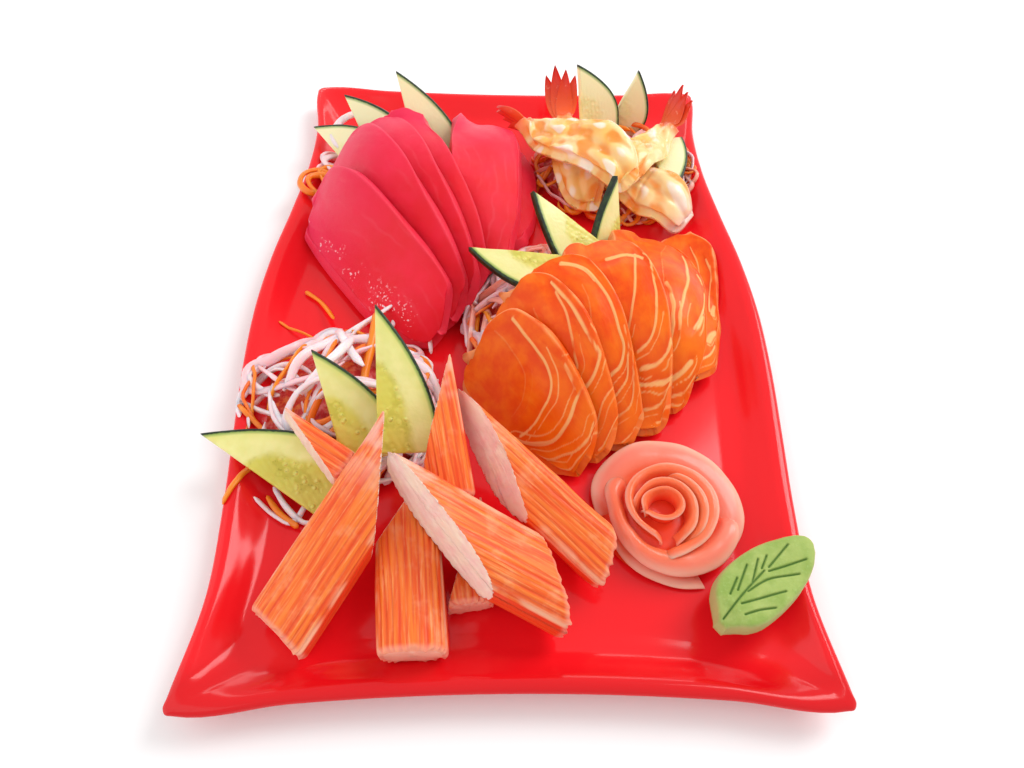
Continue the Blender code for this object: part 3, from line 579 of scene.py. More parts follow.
class Bed:
    """The sheet that a slice's underside follows, read from its solid: a fine grid with the solid's own
    outline. along runs from the near end, across to the right, both in millimetres; far and side are
    the same as shares, 0 to 1 and -1 to 1; edge is the distance to the nearest border."""

    ROWS, COLUMNS = 41, 23
    EDGE_STEPS = (0.0, 0.12, 0.35, 0.7, 1.2, 2.0)
    SHEET_ROUNDS, NORMAL_ROUNDS = 10, 3  # how often each is smoothed
    END_GAP = 0.5  # how much shorter the bed is than its solid, both ends together
    DRAWN_IN = 0.005  # how far in from the outline rays are cast, as a share of the half-width

    def __init__(self, node, rows=60, columns=36, outline_rounds=3):
        points, faces = cad_mesh(node)
        tree = BVHTree.FromPolygons(points.tolist(), faces.tolist())
        plan = points[:, :2]
        centre = (plan.min(0) + plan.max(0)) / 2
        way = np.linalg.svd(plan - plan.mean(0), full_matrices=False)[2][0]
        way = way * np.sign(way[1])
        right = np.array((way[1], -way[0]))
        s, v = (plan - centre) @ way, (plan - centre) @ right
        turn = np.linspace(0, math.pi, self.ROWS)
        stations = (s.min() + s.max() - (s.max() - s.min() - self.END_GAP) * np.cos(turn)) / 2
        a, b = np.concatenate([faces[:, [0, 1]], faces[:, [1, 2]], faces[:, [2, 0]]]).T
        run = np.where(np.abs(s[b] - s[a]) < 1e-6, 1e-6, s[b] - s[a])
        share = (stations[:, None] - s[a]) / run
        crossing = np.where((share >= 0) & (share <= 1), v[a] + share * (v[b] - v[a]), np.nan)
        low, high = np.nanmin(crossing, 1), np.nanmax(crossing, 1)
        ends = evened(np.stack([low, high], 1)[:, None].repeat(3, 1), outline_rounds)[:, 1]
        low, high = ends.T
        even = np.linspace(-1, 1, self.COLUMNS)
        across = 0.9 * even + 0.1 * np.sin(even * math.pi / 2)
        wide = (low + high)[:, None] / 2 + (high - low)[:, None] / 2 * across
        middle = centre + stations[:, None, None] * way
        ground = middle + wide[..., None] * right
        safe = ground * (1 - self.DRAWN_IN) + middle * self.DRAWN_IN
        under = filled(heights(tree, safe[..., 0], safe[..., 1], -100.0, 1))
        sheet = np.concatenate([ground, evened(under, self.SHEET_ROUNDS)[..., None]], -1)
        normals = unit(evened(surface_normals(sheet), self.NORMAL_ROUNDS))
        fine = spaced(stations[0], stations[-1], rows, self.EDGE_STEPS)
        rows_at = np.interp(fine, stations, np.arange(self.ROWS))
        half = np.median(high - low) / 2
        sides = spaced(-half, half, columns, self.EDGE_STEPS) / half
        columns_at = np.interp(sides, across, np.arange(self.COLUMNS))
        self.sheet = finer(sheet, rows_at, columns_at)
        self.normal = unit(finer(normals, rows_at, columns_at))
        halves = np.interp(fine, stations, (high - low) / 2)
        self.side = np.broadcast_to(sides, (len(fine), len(sides)))
        self.along = np.broadcast_to((fine - fine[0])[:, None], self.side.shape)
        self.far = self.along / self.along[-1, 0]
        self.across = self.side * halves[:, None]
        to_end = np.minimum(self.along, self.along[-1, 0] - self.along)
        self.edge = np.minimum(to_end, halves[:, None] * (1 - np.abs(self.side)))

    def cut_off(self, end):
        """The part of the bed before a row, with a border of its own there."""
        part = Bed.__new__(Bed)
        for name in ("sheet", "normal", "side", "along", "far", "across"):
            setattr(part, name, getattr(self, name)[:end])
        part.edge = np.minimum(self.edge[:end], part.along[-1, 0] - part.along)
        return part

    def slab(self, name, thickness, radius, look, slot, node, values, foot=0.5):
        """A slice of that thickness on the bed, its upper edges rounded. foot is the share of that rounding
        which its lower edges have."""
        rounded = rounded_off(self.edge, radius)
        upper = self.sheet + self.normal * (thickness - rounded)[..., None]
        lower = self.sheet + self.normal * (foot * rounded)[..., None]
        add_slab(name, upper, lower, look, node, values)


# ---------------------------------------------------------------- the plate


def cad_rings(node):
    """The rings of a solid built of level rings, in the order in which they follow each other."""
    points, faces = cad_mesh(node)
    level = np.round(points[:, 2], 2)
    names = np.unique(level)
    beside = {name: set() for name in names}
    for face in faces:
        kinds = set(level[face])
        for one in kinds:
            beside[one] |= kinds - {one}
    order = [names[0]]
    while len(order) < len(names):
        order.append(next(n for n in sorted(beside[order[-1]]) if n not in order))
    rings = []
    for name in order:
        ring = points[level == name]
        turn = np.arctan2(ring[:, 1], ring[:, 0])
        rings.append(ring[np.argsort(turn)])
    return np.array(rings)


def smooth_loop(ring, steps):
    """A closed line through unevenly spaced points, with that many steps between two of them."""
    before, after = np.roll(ring, 1, 0), np.roll(ring, -1, 0)
    back = np.linalg.norm(ring - before, axis=1)[:, None]
    ahead = np.linalg.norm(after - ring, axis=1)[:, None]
    slope = ((after - ring) / ahead * back + (ring - before) / back * ahead) / (back + ahead)
    t = (np.arange(steps) / steps)[None, :, None]
    one, two = ring[:, None], after[:, None]
    lean, next_lean = (slope * ahead)[:, None], (np.roll(slope, -1, 0) * ahead)[:, None]
    curve = ((2 * t**3 - 3 * t**2 + 1) * one + (t**3 - 2 * t**2 + t) * lean
             + (3 * t**2 - 2 * t**3) * two + (t**3 - t**2) * next_lean)
    return curve.reshape(-1, 3)


FRONT_FROM = 138  # where the painted shade of the front lip, a darker red, starts
FOOT_DEPTH = 1.6
# The underside from the middle outwards: share of the foot's radius, and height
UNDERSIDE = ((0.5, FOOT_DEPTH), (0.93, FOOT_DEPTH), (0.945, 1.2), (0.955, 0.3), (0.965, 0.0))
FLOOR_SHARES = (0.98, 0.94, 0.86, 0.7, 0.5, 0.25, 0.08)


def make_plate():
    rings = np.array([smooth_loop(ring, 8) for ring in cad_rings("plate")])
    wall = between(rings, np.linspace(0, len(rings) - 1, 6 * (len(rings) - 1) + 1))
    middle = np.array((0.0, 0.0, 1.0))
    underside = [wall[0] * (share, share, 0) + middle * height for share, height in UNDERSIDE]
    floor = [wall[-1] * (share, share, 1) for share in FLOOR_SHARES]
    grid = np.array(underside + list(wall) + floor)
    # front: how much painted shade, a darker red, the front lip gets
    front = np.clip((-grid[..., 1] - FRONT_FROM) / 8, 0, 1) * np.clip(grid[..., 2] / 4, 0, 1)
    faces = ring_faces(len(grid), grid.shape[1])
    add_piece("glazed_plate", grid, faces, glaze_look(), ["plate"], {"front": front})


# ---------------------------------------------------------------- sliced fish


TUNA_THICK, SALMON_THICK = 5.0, 4.5
GRAIN_STEP = 5.0  # between two seams of a slice of tuna


def make_tuna(number, look):
    node = f"tuna_slice_{number}"
    bed = Bed(node, outline_rounds=1)
    sheet = bed.sheet
    swell = 0.22 * lumps(sheet, 26, number) + 0.1 * lumps(sheet, 8, 20 + number)
    thickness = TUNA_THICK + swell * np.clip(bed.edge / 3, 0.2, 1)
    grain = (bed.across + 0.0035 * (bed.along - 30) ** 2) / GRAIN_STEP + 0.37 * number
    bed.slab(f"tuna_cut_{number}", thickness, 0.5, look, "tuna", node,
             {"grain": grain, "edge": bed.edge, "along": bed.along, "far": bed.far,
              # wet: where the painted glints go, on the first slice only
              "wet": (number == 1) * np.clip(1.2 - np.abs(bed.side + 0.35) * 3, 0, 1)})


# The white lines of each slice of salmon from the near one on: points along it and across it, in
# millimetres, then half the line's width and its strength
FLAKE_LINES = ((
    (((50, 11), (37, 10), (31, 9), (26, 7), (23.5, 4), (23, 0), (23.5, -4), (25, -7)), 0.45, 0.8),
    (((54, 7), (44, 6), (35, 4), (31, 0), (31, -5)), 0.3, 0.3),
    (((26, -9), (19, -6), (15, -2), (14, 3), (16, 8), (17, 12)), 0.6, 0.9),
    (((17, -9), (12, -6), (9, -2), (7, 1), (6, 5), (8, 9)), 0.45, 0.7),
    (((10, -8), (5, -4), (4.5, 1), (4, 6), (5, 11)), 0.4, 0.7),
    (((26, 12.5), (22, 11.6), (18.5, 10.6)), 0.6, 0.7),
), (
    (((54, 12), (49, 12.5), (43, 13), (37, 12.6), (31, 12.6), (25, 13), (22, 9), (21, 4)), 0.6, 0.8),
    (((50, 11.5), (42, 10.5), (36, 8.6), (31, 6.8), (27, 5.5), (25, 1)), 0.5, 0.6),
    (((52, 4), (42, 3), (34, 1)), 0.4, 0.35),
    (((15, 12), (14, 8), (12, 5), (10, 1)), 0.4, 0.6),
    (((9, 12), (7, 8), (5, 4), (4, 0)), 0.4, 0.6),
), (
    (((56, 11.5), (48, 12.6), (40, 12.8), (34, 12), (28, 11.6), (24, 8), (23, 3)), 0.6, 0.8),
    (((64, 6), (61, 9), (57, 11.4), (52, 12)), 0.8, 0.9),
    (((52, 7), (44, 6), (37, 3.5)), 0.3, 0.35),
    (((25, 12), (20, 9.4), (18, 5.5), (16, 1)), 0.45, 0.7),
    (((20, 12.4), (14, 9), (12, 5), (11, 0)), 0.4, 0.6),
    (((10, 12), (6, 9), (5, 4), (4, 0)), 0.4, 0.6),
), (
    (((60, 16), (56, 17), (47, 14), (38, 12), (31, 10), (27, 7), (26, 3)), 0.5, 0.8),
    (((61, 12), (53, 9), (44, 6), (37, 3), (33, 1)), 0.5, 0.75),
    (((62, 2), (61.5, 7), (60, 12), (58, 14)), 0.8, 0.9),
    (((24, 14), (21, 12), (20, 8), (21, 3)), 0.6, 0.85),
    (((15, 15), (14.5, 10), (16, 5), (17, 2)), 0.7, 0.9),
    (((14, 13), (11, 10), (9.5, 5), (10, 0)), 0.45, 0.7),
    (((8, 13), (6, 9), (5, 4)), 0.4, 0.6),
), (
    (((78, 9), (66, 3), (50, 0), (38, -1)), 0.3, 0.4),
    (((70, 13), (61, 11), (53, 9), (44, 7), (38, 5), (29, 3), (24, 3)), 0.5, 0.8),
    (((56, 15), (46, 15.5), (36, 13), (30, 10.5), (25, 8)), 0.55, 0.8),
    (((30, 11), (27, 9.4), (24, 7.6)), 1.0, 0.8),
    (((42, 0), (35, 1), (28, 1), (20, 0.4), (17, -2)), 0.6, 0.9),
    (((15, 7), (12.5, 4.5), (11, 2), (10, -1)), 0.8, 0.9),
    (((12, 10), (8, 6), (6.5, 2)), 0.4, 0.7),
    (((6, 8), (4.5, 4), (4, 0)), 0.35, 0.6),
), (
    (((76, 4), (68, 6.5), (62, 7), (54, 6), (46, 5)), 0.4, 0.7),
    (((68, 11), (60, 13), (52, 12), (44, 9.5), (36, 8)), 0.45, 0.8),
    (((40, 12), (37, 10), (34, 9)), 1.3, 0.85),
    (((24, 10), (21, 7), (17, 5)), 1.4, 0.85),
    (((30, 12), (22, 12.6), (14, 11), (8, 8)), 0.45, 0.8),
    (((16, 8), (11, 5), (8, 1)), 0.4, 0.7),
))
LINE_SLOPE = 4.5  # how far a flake's step reaches on its low side


def beside_line(along, across, line):
    """Distance from a line, and on which side of it a point lies."""
    one, run = line[:-1], np.diff(line, axis=0)
    x, y = along[..., None] - one[:, 0], across[..., None] - one[:, 1]
    share = np.clip((x * run[:, 0] + y * run[:, 1]) / (run**2).sum(1), 0, 1)
    apart = np.hypot(x - share * run[:, 0], y - share * run[:, 1])
    nearest = apart.argmin(-1)[..., None]
    side = np.take_along_axis(run[:, 0] * y - run[:, 1] * x, nearest, -1)[..., 0]
    return apart.min(-1), np.sign(side)


def make_salmon(number, look):
    """A slice whose flakes run along it, bend near its lower end and overlap like tiles."""
    node = f"salmon_slice_{number}"
    bed = Bed(node, 130, 84)
    sway = 0.35 * lumps(bed.sheet, 7, 60 + number)
    white, relief, tone = (np.zeros(bed.side.shape) for _ in range(3))
    for corners, half_width, strength in FLAKE_LINES[number - 1]:
        line = evened(smooth_line(corners, 12 * len(corners))[:, None].repeat(3, 1), 4)[:, 1]
        apart, side = beside_line(bed.along + sway, bed.across + 0.6 * sway, line)
        drawn = np.clip(1.6 - 1.2 * apart / half_width, 0, 1)
        twin = np.clip(1.3 - np.abs(apart - 2.2 - sway) / 0.3, 0, 1) * (side < 0) * (bed.along < 34)
        white = np.maximum(white, strength * np.maximum(drawn, 0.75 * twin))
        low = np.clip(1 - apart / LINE_SLOPE, 0, 1) * (side > 0)
        relief = relief - 0.4 * strength * low * np.clip(apart / 0.4, 0, 1)
        # tone: painted shade beside each line, on its low side
        tone = np.maximum(tone, strength * low)
    swell = relief + 0.35 * lumps(bed.sheet, 24, 40 + number)
    thickness = SALMON_THICK + swell * np.clip(bed.edge / 2.0, 0.2, 1)
    bed.slab(f"salmon_cut_{number}", thickness, 0.7, look, "salmon", node,
             {"line": white, "tone": tone, "edge": bed.edge, "along": bed.along, "across": bed.across,
              "far": bed.far})


# ---------------------------------------------------------------- prawns


TAIL_FROM = 0.82  # share of a prawn's length where its meat gives way to the tail
JOINTS = 7
PRAWN_THICK, JOINT_DEPTH, FOLD_STEP = 6.2, 0.6, 7.5
# Blades of a tail: how far each one turns from the middle, and its share of the full length
TAIL_BLADES = ((-15, 0.86), (-5, 1.0), (5, 0.93), (15, 0.84))
BLADE_WIDTH, BLADE_THICK = 8.6, 1.5
TAIL_SHORT = 8  # rows of the bed that the tail does without at its end
TAIL_MORE, TAIL_CURL = 10.0, 2.0
TAIL_ROLL = {1: 0, 2: 0, 3: 0, 4: 50}  # degrees
TAIL_ROWS, TAIL_COLUMNS = 15, 9


def leaf_grid(rows, columns, length, width, fullest):
    """A pointed outline lying along X: along and across of each point of a grid."""
    t = (1 - np.cos(np.linspace(0.04, 1, rows) * math.pi)) / 2
    v = np.sin(np.linspace(-1, 1, columns) * math.pi / 2)
    half = width / 2 * np.sin(math.pi * np.clip(t, 0.01, 0.995) ** fullest) ** 0.8
    return np.broadcast_to((t * length)[:, None], (rows, columns)), half[:, None] * v, v


def make_tail(number, bed, look):
    """A fan of pointed blades that follows the end of the bed and curls up a little."""
    row = int(np.searchsorted(bed.far[:, 0], TAIL_FROM - 0.06))
    middle = bed.sheet.shape[1] // 2
    spine, over = bed.sheet[row:-TAIL_SHORT, middle], evened(bed.normal, 6)[row:-TAIL_SHORT, middle]
    spine = np.concatenate([spine, spine[-1:] + TAIL_MORE * unit(spine[-1] - spine[-8])])
    over = np.concatenate([over, over[-1:]])
    walk = np.concatenate([[0], np.cumsum(np.linalg.norm(np.diff(spine, axis=0), axis=1))])
    parts, far = [], []
    for blade, (turn, share) in enumerate(TAIL_BLADES):
        along, across, v = leaf_grid(TAIL_ROWS, TAIL_COLUMNS, walk[-1] * share, BLADE_WIDTH, 0.72)
        reach = along[:, 0]
        line = np.stack([np.interp(reach, walk, spine[:, axis]) for axis in range(3)], -1)
        up = unit(np.stack([np.interp(reach, walk, over[:, axis]) for axis in range(3)], -1))
        ahead = unit(np.gradient(line, axis=0))
        rolled = math.radians(TAIL_ROLL[number])
        up = up * math.cos(rolled) + np.cross(ahead, up) * math.sin(rolled)
        right = np.cross(ahead, up)
        t = along / walk[-1]
        beside = across + math.tan(math.radians(turn)) * along
        lift = 2.4 + 0.5 * blade % 1.1 + TAIL_CURL * t**2 - 1.2 * (1 - v**2) * t
        sheet = line[:, None] + beside[..., None] * right[:, None] + lift[..., None] * up[:, None]
        half = BLADE_THICK / 2 * (1 - 0.75 * np.abs(v) ** 3) * (1.15 - t)
        thick = up[:, None] * half[..., None]
        parts.append((two_sides(sheet + thick, sheet - thick), slab_faces(TAIL_ROWS, TAIL_COLUMNS)))
        far.append(np.tile(t.ravel(), 2))
    points, faces = joined(parts)
    add_piece(f"prawn_tail_{number}", points, faces, look, (), {"far": np.concatenate(far)})


def make_prawn(number, meat, shell):
    """Two lobes of opened meat with joints across them, and a tail."""
    bed = Bed(f"prawn_{number}", 110, 40)
    body = bed.cut_off(int(np.searchsorted(bed.far[:, 0], TAIL_FROM)))
    joint = np.abs(np.cos(math.pi * JOINTS * body.far + 0.5 * body.side**2))
    lobes = 1 - 0.5 * body.side**4 - 0.12 * np.exp(-(body.across / 1.4) ** 2)
    slanting = np.stack([body.along * 0.5 + body.across * 0.35, body.across - 0.4 * body.along,
                         0 * body.along], -1)
    fold = lumps(slanting, FOLD_STEP, 70 + number)
    swell = 0.9 * fold + 0.2 * lumps(body.sheet, 5, 80 + number)
    thickness = PRAWN_THICK * lobes - JOINT_DEPTH * (1 - joint) ** 3 + swell * np.clip(body.edge / 2, 0.1, 1)
    head = np.clip(1.6 - body.along / 7, 0, 1) * (number == 1)
    body.slab(f"prawn_meat_{number}", thickness, 2.2, meat, "prawn", f"prawn_{number}",
              {"along": body.along, "across": body.across, "head": head, "fold": fold,
               "tail": np.clip((body.far - 0.72) / 0.1, 0, 1)}, 0.35)
    make_tail(number, bed, shell)


# ---------------------------------------------------------------- crab sticks


AROUND, STATIONS = 168, 110
GROOVE_STEP = 2.15
TOOTH, TOOTH_STEP = 1.1, 2.6  # the lower border of a cut
SOLID_SHARE = 0.93  # size of a stick's solid as a share of the rod's
SQUARE = 2.9  # how square the section is: 2 is an oval
BLUNT_SKIN = 0.42  # how much skin shows on the blunt end
# Rings that close the blunt end, from its middle: share of the outline, and how far it stands out
BLUNT_RINGS = ((0.06, 0.2), (0.3, 0.3), (0.6, 0.3), (0.88, 0.2))


def sliced(rod, through, facing, teeth):
    """Rings of points cut off flat where they pass a plane, and where the cut is. teeth is how far the
    lower border of the cut stands out at each ring."""
    rod, bare = rod.copy(), np.zeros(rod.shape[:2])
    count = rod.shape[1]
    for ring, cut, tooth in zip(rod, bare, teeth):
        over = (ring - through) @ facing
        if over.max() <= 0:
            continue
        order = (np.arange(count) + int(np.argmin(over))) % count
        past = np.flatnonzero(over[order] > 0)
        run = order[past[0]:past[-1] + 1]
        ends = []
        for outer, inner in ((order[past[0]], order[past[0] - 1]), (run[-1], order[(past[-1] + 1) % count])):
            share = over[inner] / (over[inner] - over[outer]) if over[outer] > 0 else 0.5
            ends.append(ring[inner] + share * (ring[outer] - ring[inner]))
        ends = np.array(ends)
        low = int(ends[1][2] < ends[0][2])
        ends[low] = ends[low] + tooth * unit(ends[low] - ends[1 - low])
        share = np.linspace(0, 1, len(run))[:, None] if len(run) > 1 else np.array([[0.5]])
        ring[run] = ends[0] + share * (ends[1] - ends[0])
        cut[run] = 1
    return rod, bare


def stick_frame(node):
    """A stick read from its solid: the middle and the facing of its blunt end, its length, the way it runs,
    the way and half the size of its width and of its depth, and a point and the facing of its cut."""
    points, faces = cad_mesh(node)
    corners = points[faces]
    cross = np.cross(corners[:, 1] - corners[:, 0], corners[:, 2] - corners[:, 0])
    normals = unit(cross)
    ways = unit(np.cross(normals[:, None], normals[None]).reshape(-1, 3))
    level = np.abs(ways @ normals.T) < 0.06
    walls = level[np.argmax(level @ np.linalg.norm(cross, axis=1) * (np.abs(ways).sum(1) > 0.5))]
    axis = np.linalg.svd(cross[walls], full_matrices=False)[2][2]
    slant = normals @ axis
    caps = np.abs(slant) > 0.8
    axis = -axis * np.sign(slant[caps].sum())
    slant = normals @ axis
    blunt = np.unique(faces[slant < -0.8])
    cut = (slant > 0.2) & (slant < 0.75)
    centre = points[blunt].mean(0)
    outline = points[blunt] - centre
    outline = outline - (outline @ axis)[:, None] * axis
    wide = unit(np.linalg.svd(outline, full_matrices=False)[2][0])
    deep = np.cross(axis, wide)
    deep = deep * np.sign(deep[2])
    wide = np.cross(deep, axis)
    half_wide, half_deep = (np.abs(outline @ way).max() / SOLID_SHARE for way in (wide, deep))
    length = ((points - centre) @ axis).max()
    return (centre, unit(cross[slant < -0.8].sum(0)), length, axis, wide, half_wide, deep, half_deep,
            corners[cut].reshape(-1, 3).mean(0), unit(cross[cut].sum(0)))


def make_crab_stick(number, look):
    """A rod of pressed fish: grooves along it, one ragged blunt end and one long slanting cut."""
    node = f"crab_stick_{number}"
    centre, end, length, axis, wide, half_wide, deep, half_deep, through, facing = stick_frame(node)
    turn = np.linspace(0, 2 * math.pi, AROUND, endpoint=False)
    x, y = (np.sign(wave) * np.abs(wave) ** (2 / SQUARE) * half
            for wave, half in ((np.cos(turn), half_wide), (np.sin(turn), half_deep)))
    outward = np.stack([x / half_wide**2, y / half_deep**2], 1)
    upright = unit(outward) @ np.array((wide[2], deep[2]))
    walk = np.concatenate([[0], np.cumsum(np.hypot(np.diff(x), np.diff(y)))])
    stations = np.concatenate([[0.0, 0.25, 0.6, 1.0], np.linspace(1.6, length - 0.5, STATIONS)])
    around = np.broadcast_to(walk, (len(stations), AROUND))
    along = np.broadcast_to(stations[:, None], around.shape)
    spot = np.stack([np.broadcast_to(x, around.shape), np.broadcast_to(y, around.shape), along * 0.07], -1)
    warp = lumps(spot * (0.3, 0.3, 1.0), 3.0, 90 + number)
    groove = np.abs(((around / GROOVE_STEP + 0.35 * warp) % 1.0) - 0.5) * 2
    fine = lumps(spot, 1.5, 100 + number)
    shrink = 0.45 * (1 - groove) ** 3 + 0.1 * fine + 0.25 * lumps(spot * (1, 1, 4), 9, 110 + number)
    shrink = shrink + 0.8 * np.exp(-along / 0.5)
    share = 1 - shrink / np.hypot(x, y)
    skewed = -(x * (end @ wide) + y * (end @ deep)) / (end @ axis) * np.clip(1 - 2 * along / length, 0, 1)
    ragged = 0.8 * lumps(spot, 2.2, 120 + number) * np.exp(-along / 1.2)
    rod = (centre + (along + skewed + ragged)[..., None] * axis
           + (x * share)[..., None] * wide + (y * share)[..., None] * deep)
    teeth = TOOTH * np.abs(np.sin(math.pi * stations / TOOTH_STEP + lumps(rod[:, 0], 9, 125))) ** 0.7
    rod, bare = sliced(rod, through, facing, teeth * (1.0 if number == 6 else 0.3))
    dents = 0.12 * lumps(rod, 3.0, 140 + number) + 0.3 * (number == 7) * np.minimum(lumps(rod, 6.0, 150), 0)
    rod = rod + (bare * dents)[..., None] * facing
    plain = sum(np.roll(rod[0], k, 0) for k in range(-9, 10)) / 19
    blunt = [centre + (plain - centre) * inner - axis * out for inner, out in BLUNT_RINGS]
    grid = np.array(blunt + list(rod))
    fields = {"around": around, "along": along, "groove": groove, "skin": 1 - bare,
              "upright": np.broadcast_to(upright, around.shape), "tip": along / length}
    values = {key: np.concatenate([np.repeat(field[:1], len(blunt), 0), field])
              for key, field in fields.items()}
    values["skin"][:len(blunt)] = BLUNT_SKIN
    add_piece(f"crab_rod_{number}", grid, ring_faces(len(grid), AROUND), look, [node], values)


# ---------------------------------------------------------------- cucumber


SEEDY = {"crab": 1.0, "salmon": 0.85, "tuna": 0.25, "prawn": 0.25}
SUNK = 7.0  # how much deeper the slices behind the prawns stand in them
CUCUMBER_HALF, CUCUMBER_ROUND = 1.6, 0.7  # half the thickness, and the radius of the edges
CUCUMBER_ROWS, CUCUMBER_COLUMNS = 70, 44
CUCUMBER_STEPS = (0.0, 0.1, 0.3, 0.6, 1.0)


def wedge_frame(node):
    """A slice read from its solid: its corner, the ways to its tip and to its base with their distances,
    and the way that its face looks."""
    points, _ = cad_mesh(node)
    middle = points.mean(0)
    normal = np.linalg.svd(points - middle, full_matrices=False)[2][2]
    normal = normal * np.sign(normal[2])
    high = points[(points - middle) @ normal > 0]
    plan = high - ((high - middle) @ normal)[:, None] * normal
    hub = plan.mean(0)
    side = unit(plan[0] - hub)
    other = np.cross(normal, side)
    order = np.argsort(np.arctan2((plan - hub) @ other, (plan - hub) @ side))
    plan = plan[order]
    after = np.roll(plan, -1, 0)
    sizes = np.linalg.norm(after - plan, axis=1)
    pairs = sizes + np.roll(sizes, 1)
    k = int(np.argmax(pairs))
    corner, one, two = plan[k], plan[(k + 1) % len(plan)], plan[k - 1]
    tip, base = (one, two) if np.linalg.norm(one - corner) > np.linalg.norm(two - corner) else (two, one)
    length, width = np.linalg.norm(tip - corner), np.linalg.norm(base - corner)
    return corner, unit(tip - corner), length, unit(base - corner), width, normal


def make_cucumber(group, number, look):
    """A slanting slice: a straight cut edge, a bowed edge of skin, and seeds near the corner."""
    node = f"cucumber_{group}_{number}"
    corner, ahead, length, out, width, normal = wedge_frame(node)
    sunk = SUNK if group == "prawn" and number < 3 else 0.0
    corner, length = corner - sunk * ahead, length + sunk
    x = spaced(0.0, length - 0.4, CUCUMBER_ROWS, CUCUMBER_STEPS)
    past = np.clip((x - sunk) / (length - sunk), 0, 1)
    span = width * (1 - past**2)
    v = spaced(0.0, width, CUCUMBER_COLUMNS, CUCUMBER_STEPS) / width
    across = span[:, None] * v
    along = np.broadcast_to(x[:, None], across.shape)
    slope = 2 * width * past[:, None] / (length - sunk)
    depth = (span[:, None] - across) / np.sqrt(1 + slope**2)
    edge = np.minimum(np.minimum(depth, across), np.minimum(along, length - along))
    spot = corner + along[..., None] * ahead + across[..., None] * out
    bow = 0.5 * np.sin(math.pi * along / length) + 0.2 * lumps(spot, 15, 150 + number)
    near_core = np.clip((depth - 6) / 6, 0, 1) * np.clip((0.72 * length - along) / 8, 0, 1)
    pitted = 0.12 * lumps(spot, 2.0, 160 + number) * near_core
    half = CUCUMBER_HALF - rounded_off(edge, CUCUMBER_ROUND) + pitted
    upper = spot + (bow + half)[..., None] * normal
    lower = spot + (bow - half)[..., None] * normal
    values = {"depth": depth, "core": near_core, "along": along, "across": across, "seedy": SEEDY[group]}
    add_slab(f"cucumber_wedge_{group}_{number}", upper, lower, look, node, values)


# ---------------------------------------------------------------- ginger rose


ROSE_AT = np.array((51.0, -90.5))
ROSE_REACH = 27.0
PETAL_ROWS, PETAL_STEP = 16, 3.0  # points up a petal, and degrees between them along it
HEART_SIDES = 64
# Rings of the rose's heart: radius and height
HEART = ((10.0, 5.05), (20.0, 5.05), (21.0, 5.8), (16.0, 8.5), (11.0, 11.0), (6.5, 12.4), (2.0, 11.5))
# Petals from the tube in the middle outwards. For each: its thickness, the rise of its foot, and along
# it the turn (degrees), radius of the lip, radius of the foot, height of the crest, drop of the lip
PETALS = (
    (0.9, 12.0, ((-170, 8.0, 5.5, 17.5, 0.2), (-120, 6.6, 4.6, 18.4, 0.3), (-60, 5.8, 4.4, 18.8, 0.3),
                 (0, 5.6, 4.4, 19.0, 0.3), (60, 5.4, 4.2, 19.0, 0.3), (120, 5.8, 4.4, 18.8, 0.3),
                 (170, 8.2, 5.2, 18.4, 0.2), (205, 7.6, 6.4, 17.6, 0.2))),
    (1.0, 9.0, ((-75, 13.0, 9.0, 15.5, 0.4), (-40, 11.6, 8.2, 17.6, 0.6), (-5, 10.4, 7.0, 18.4, 0.7),
                (40, 9.8, 6.8, 18.6, 0.7), (90, 9.4, 6.6, 18.4, 0.6), (140, 9.4, 7.0, 17.8, 0.5),
                (185, 11.0, 8.6, 17.0, 0.3))),
    (1.0, 8.0, ((-70, 15.5, 11.5, 13.5, 0.4), (-35, 14.6, 10.6, 16.0, 0.6), (0, 14.4, 10.0, 17.2, 0.7),
                (45, 13.6, 9.6, 17.2, 0.6), (80, 12.4, 10.0, 16.2, 0.4))),
    (1.1, 6.5, ((-98, 18.0, 14.0, 14.0, 0.5), (-67, 16.8, 12.6, 15.2, 0.8), (-33, 17.4, 12.4, 16.2, 1.0),
                (0, 18.2, 12.4, 16.8, 1.1), (30, 18.4, 12.4, 17.0, 1.1), (60, 17.0, 11.8, 17.0, 1.0),
                (104, 15.0, 11.0, 17.0, 0.9), (160, 13.4, 10.2, 17.0, 0.8), (225, 11.4, 9.0, 16.6, 0.6),
                (262, 12.0, 10.0, 15.6, 0.3))),
    (1.3, 5.6, ((128, 20.5, 15.0, 10.5, 1.5), (150, 20.6, 14.2, 12.4, 2.4), (180, 18.0, 12.4, 14.4, 3.2),
                (215, 18.4, 12.0, 14.6, 3.6), (255, 20.8, 12.6, 14.0, 4.0), (290, 23.4, 13.4, 13.4, 3.6),
                (317, 25.6, 15.0, 13.6, 3.0), (338, 26.0, 17.0, 13.6, 1.8), (356, 24.0, 19.0, 12.0, 0.6))),
    (0.8, 5.4, ((-28, 26.0, 18.0, 7.6, 1.2), (0, 29.4, 17.0, 9.0, 1.6), (32, 29.6, 16.0, 10.6, 2.0),
                (60, 29.4, 15.0, 12.0, 2.2), (90, 28.6, 14.5, 12.8, 2.4), (120, 27.6, 14.0, 12.4, 2.6),
                (150, 26.0, 13.0, 10.4, 2.8), (178, 21.0, 13.0, 7.8, 1.6))),
    (0.7, 5.3, ((196, 18.5, 13.0, 7.2, 1.0), (225, 20.5, 13.5, 8.2, 1.8), (258, 22.6, 14.0, 8.0, 2.2),
                (284, 25.6, 16.0, 7.2, 1.6), (296, 27.4, 19.0, 6.4, 0.6))),
)


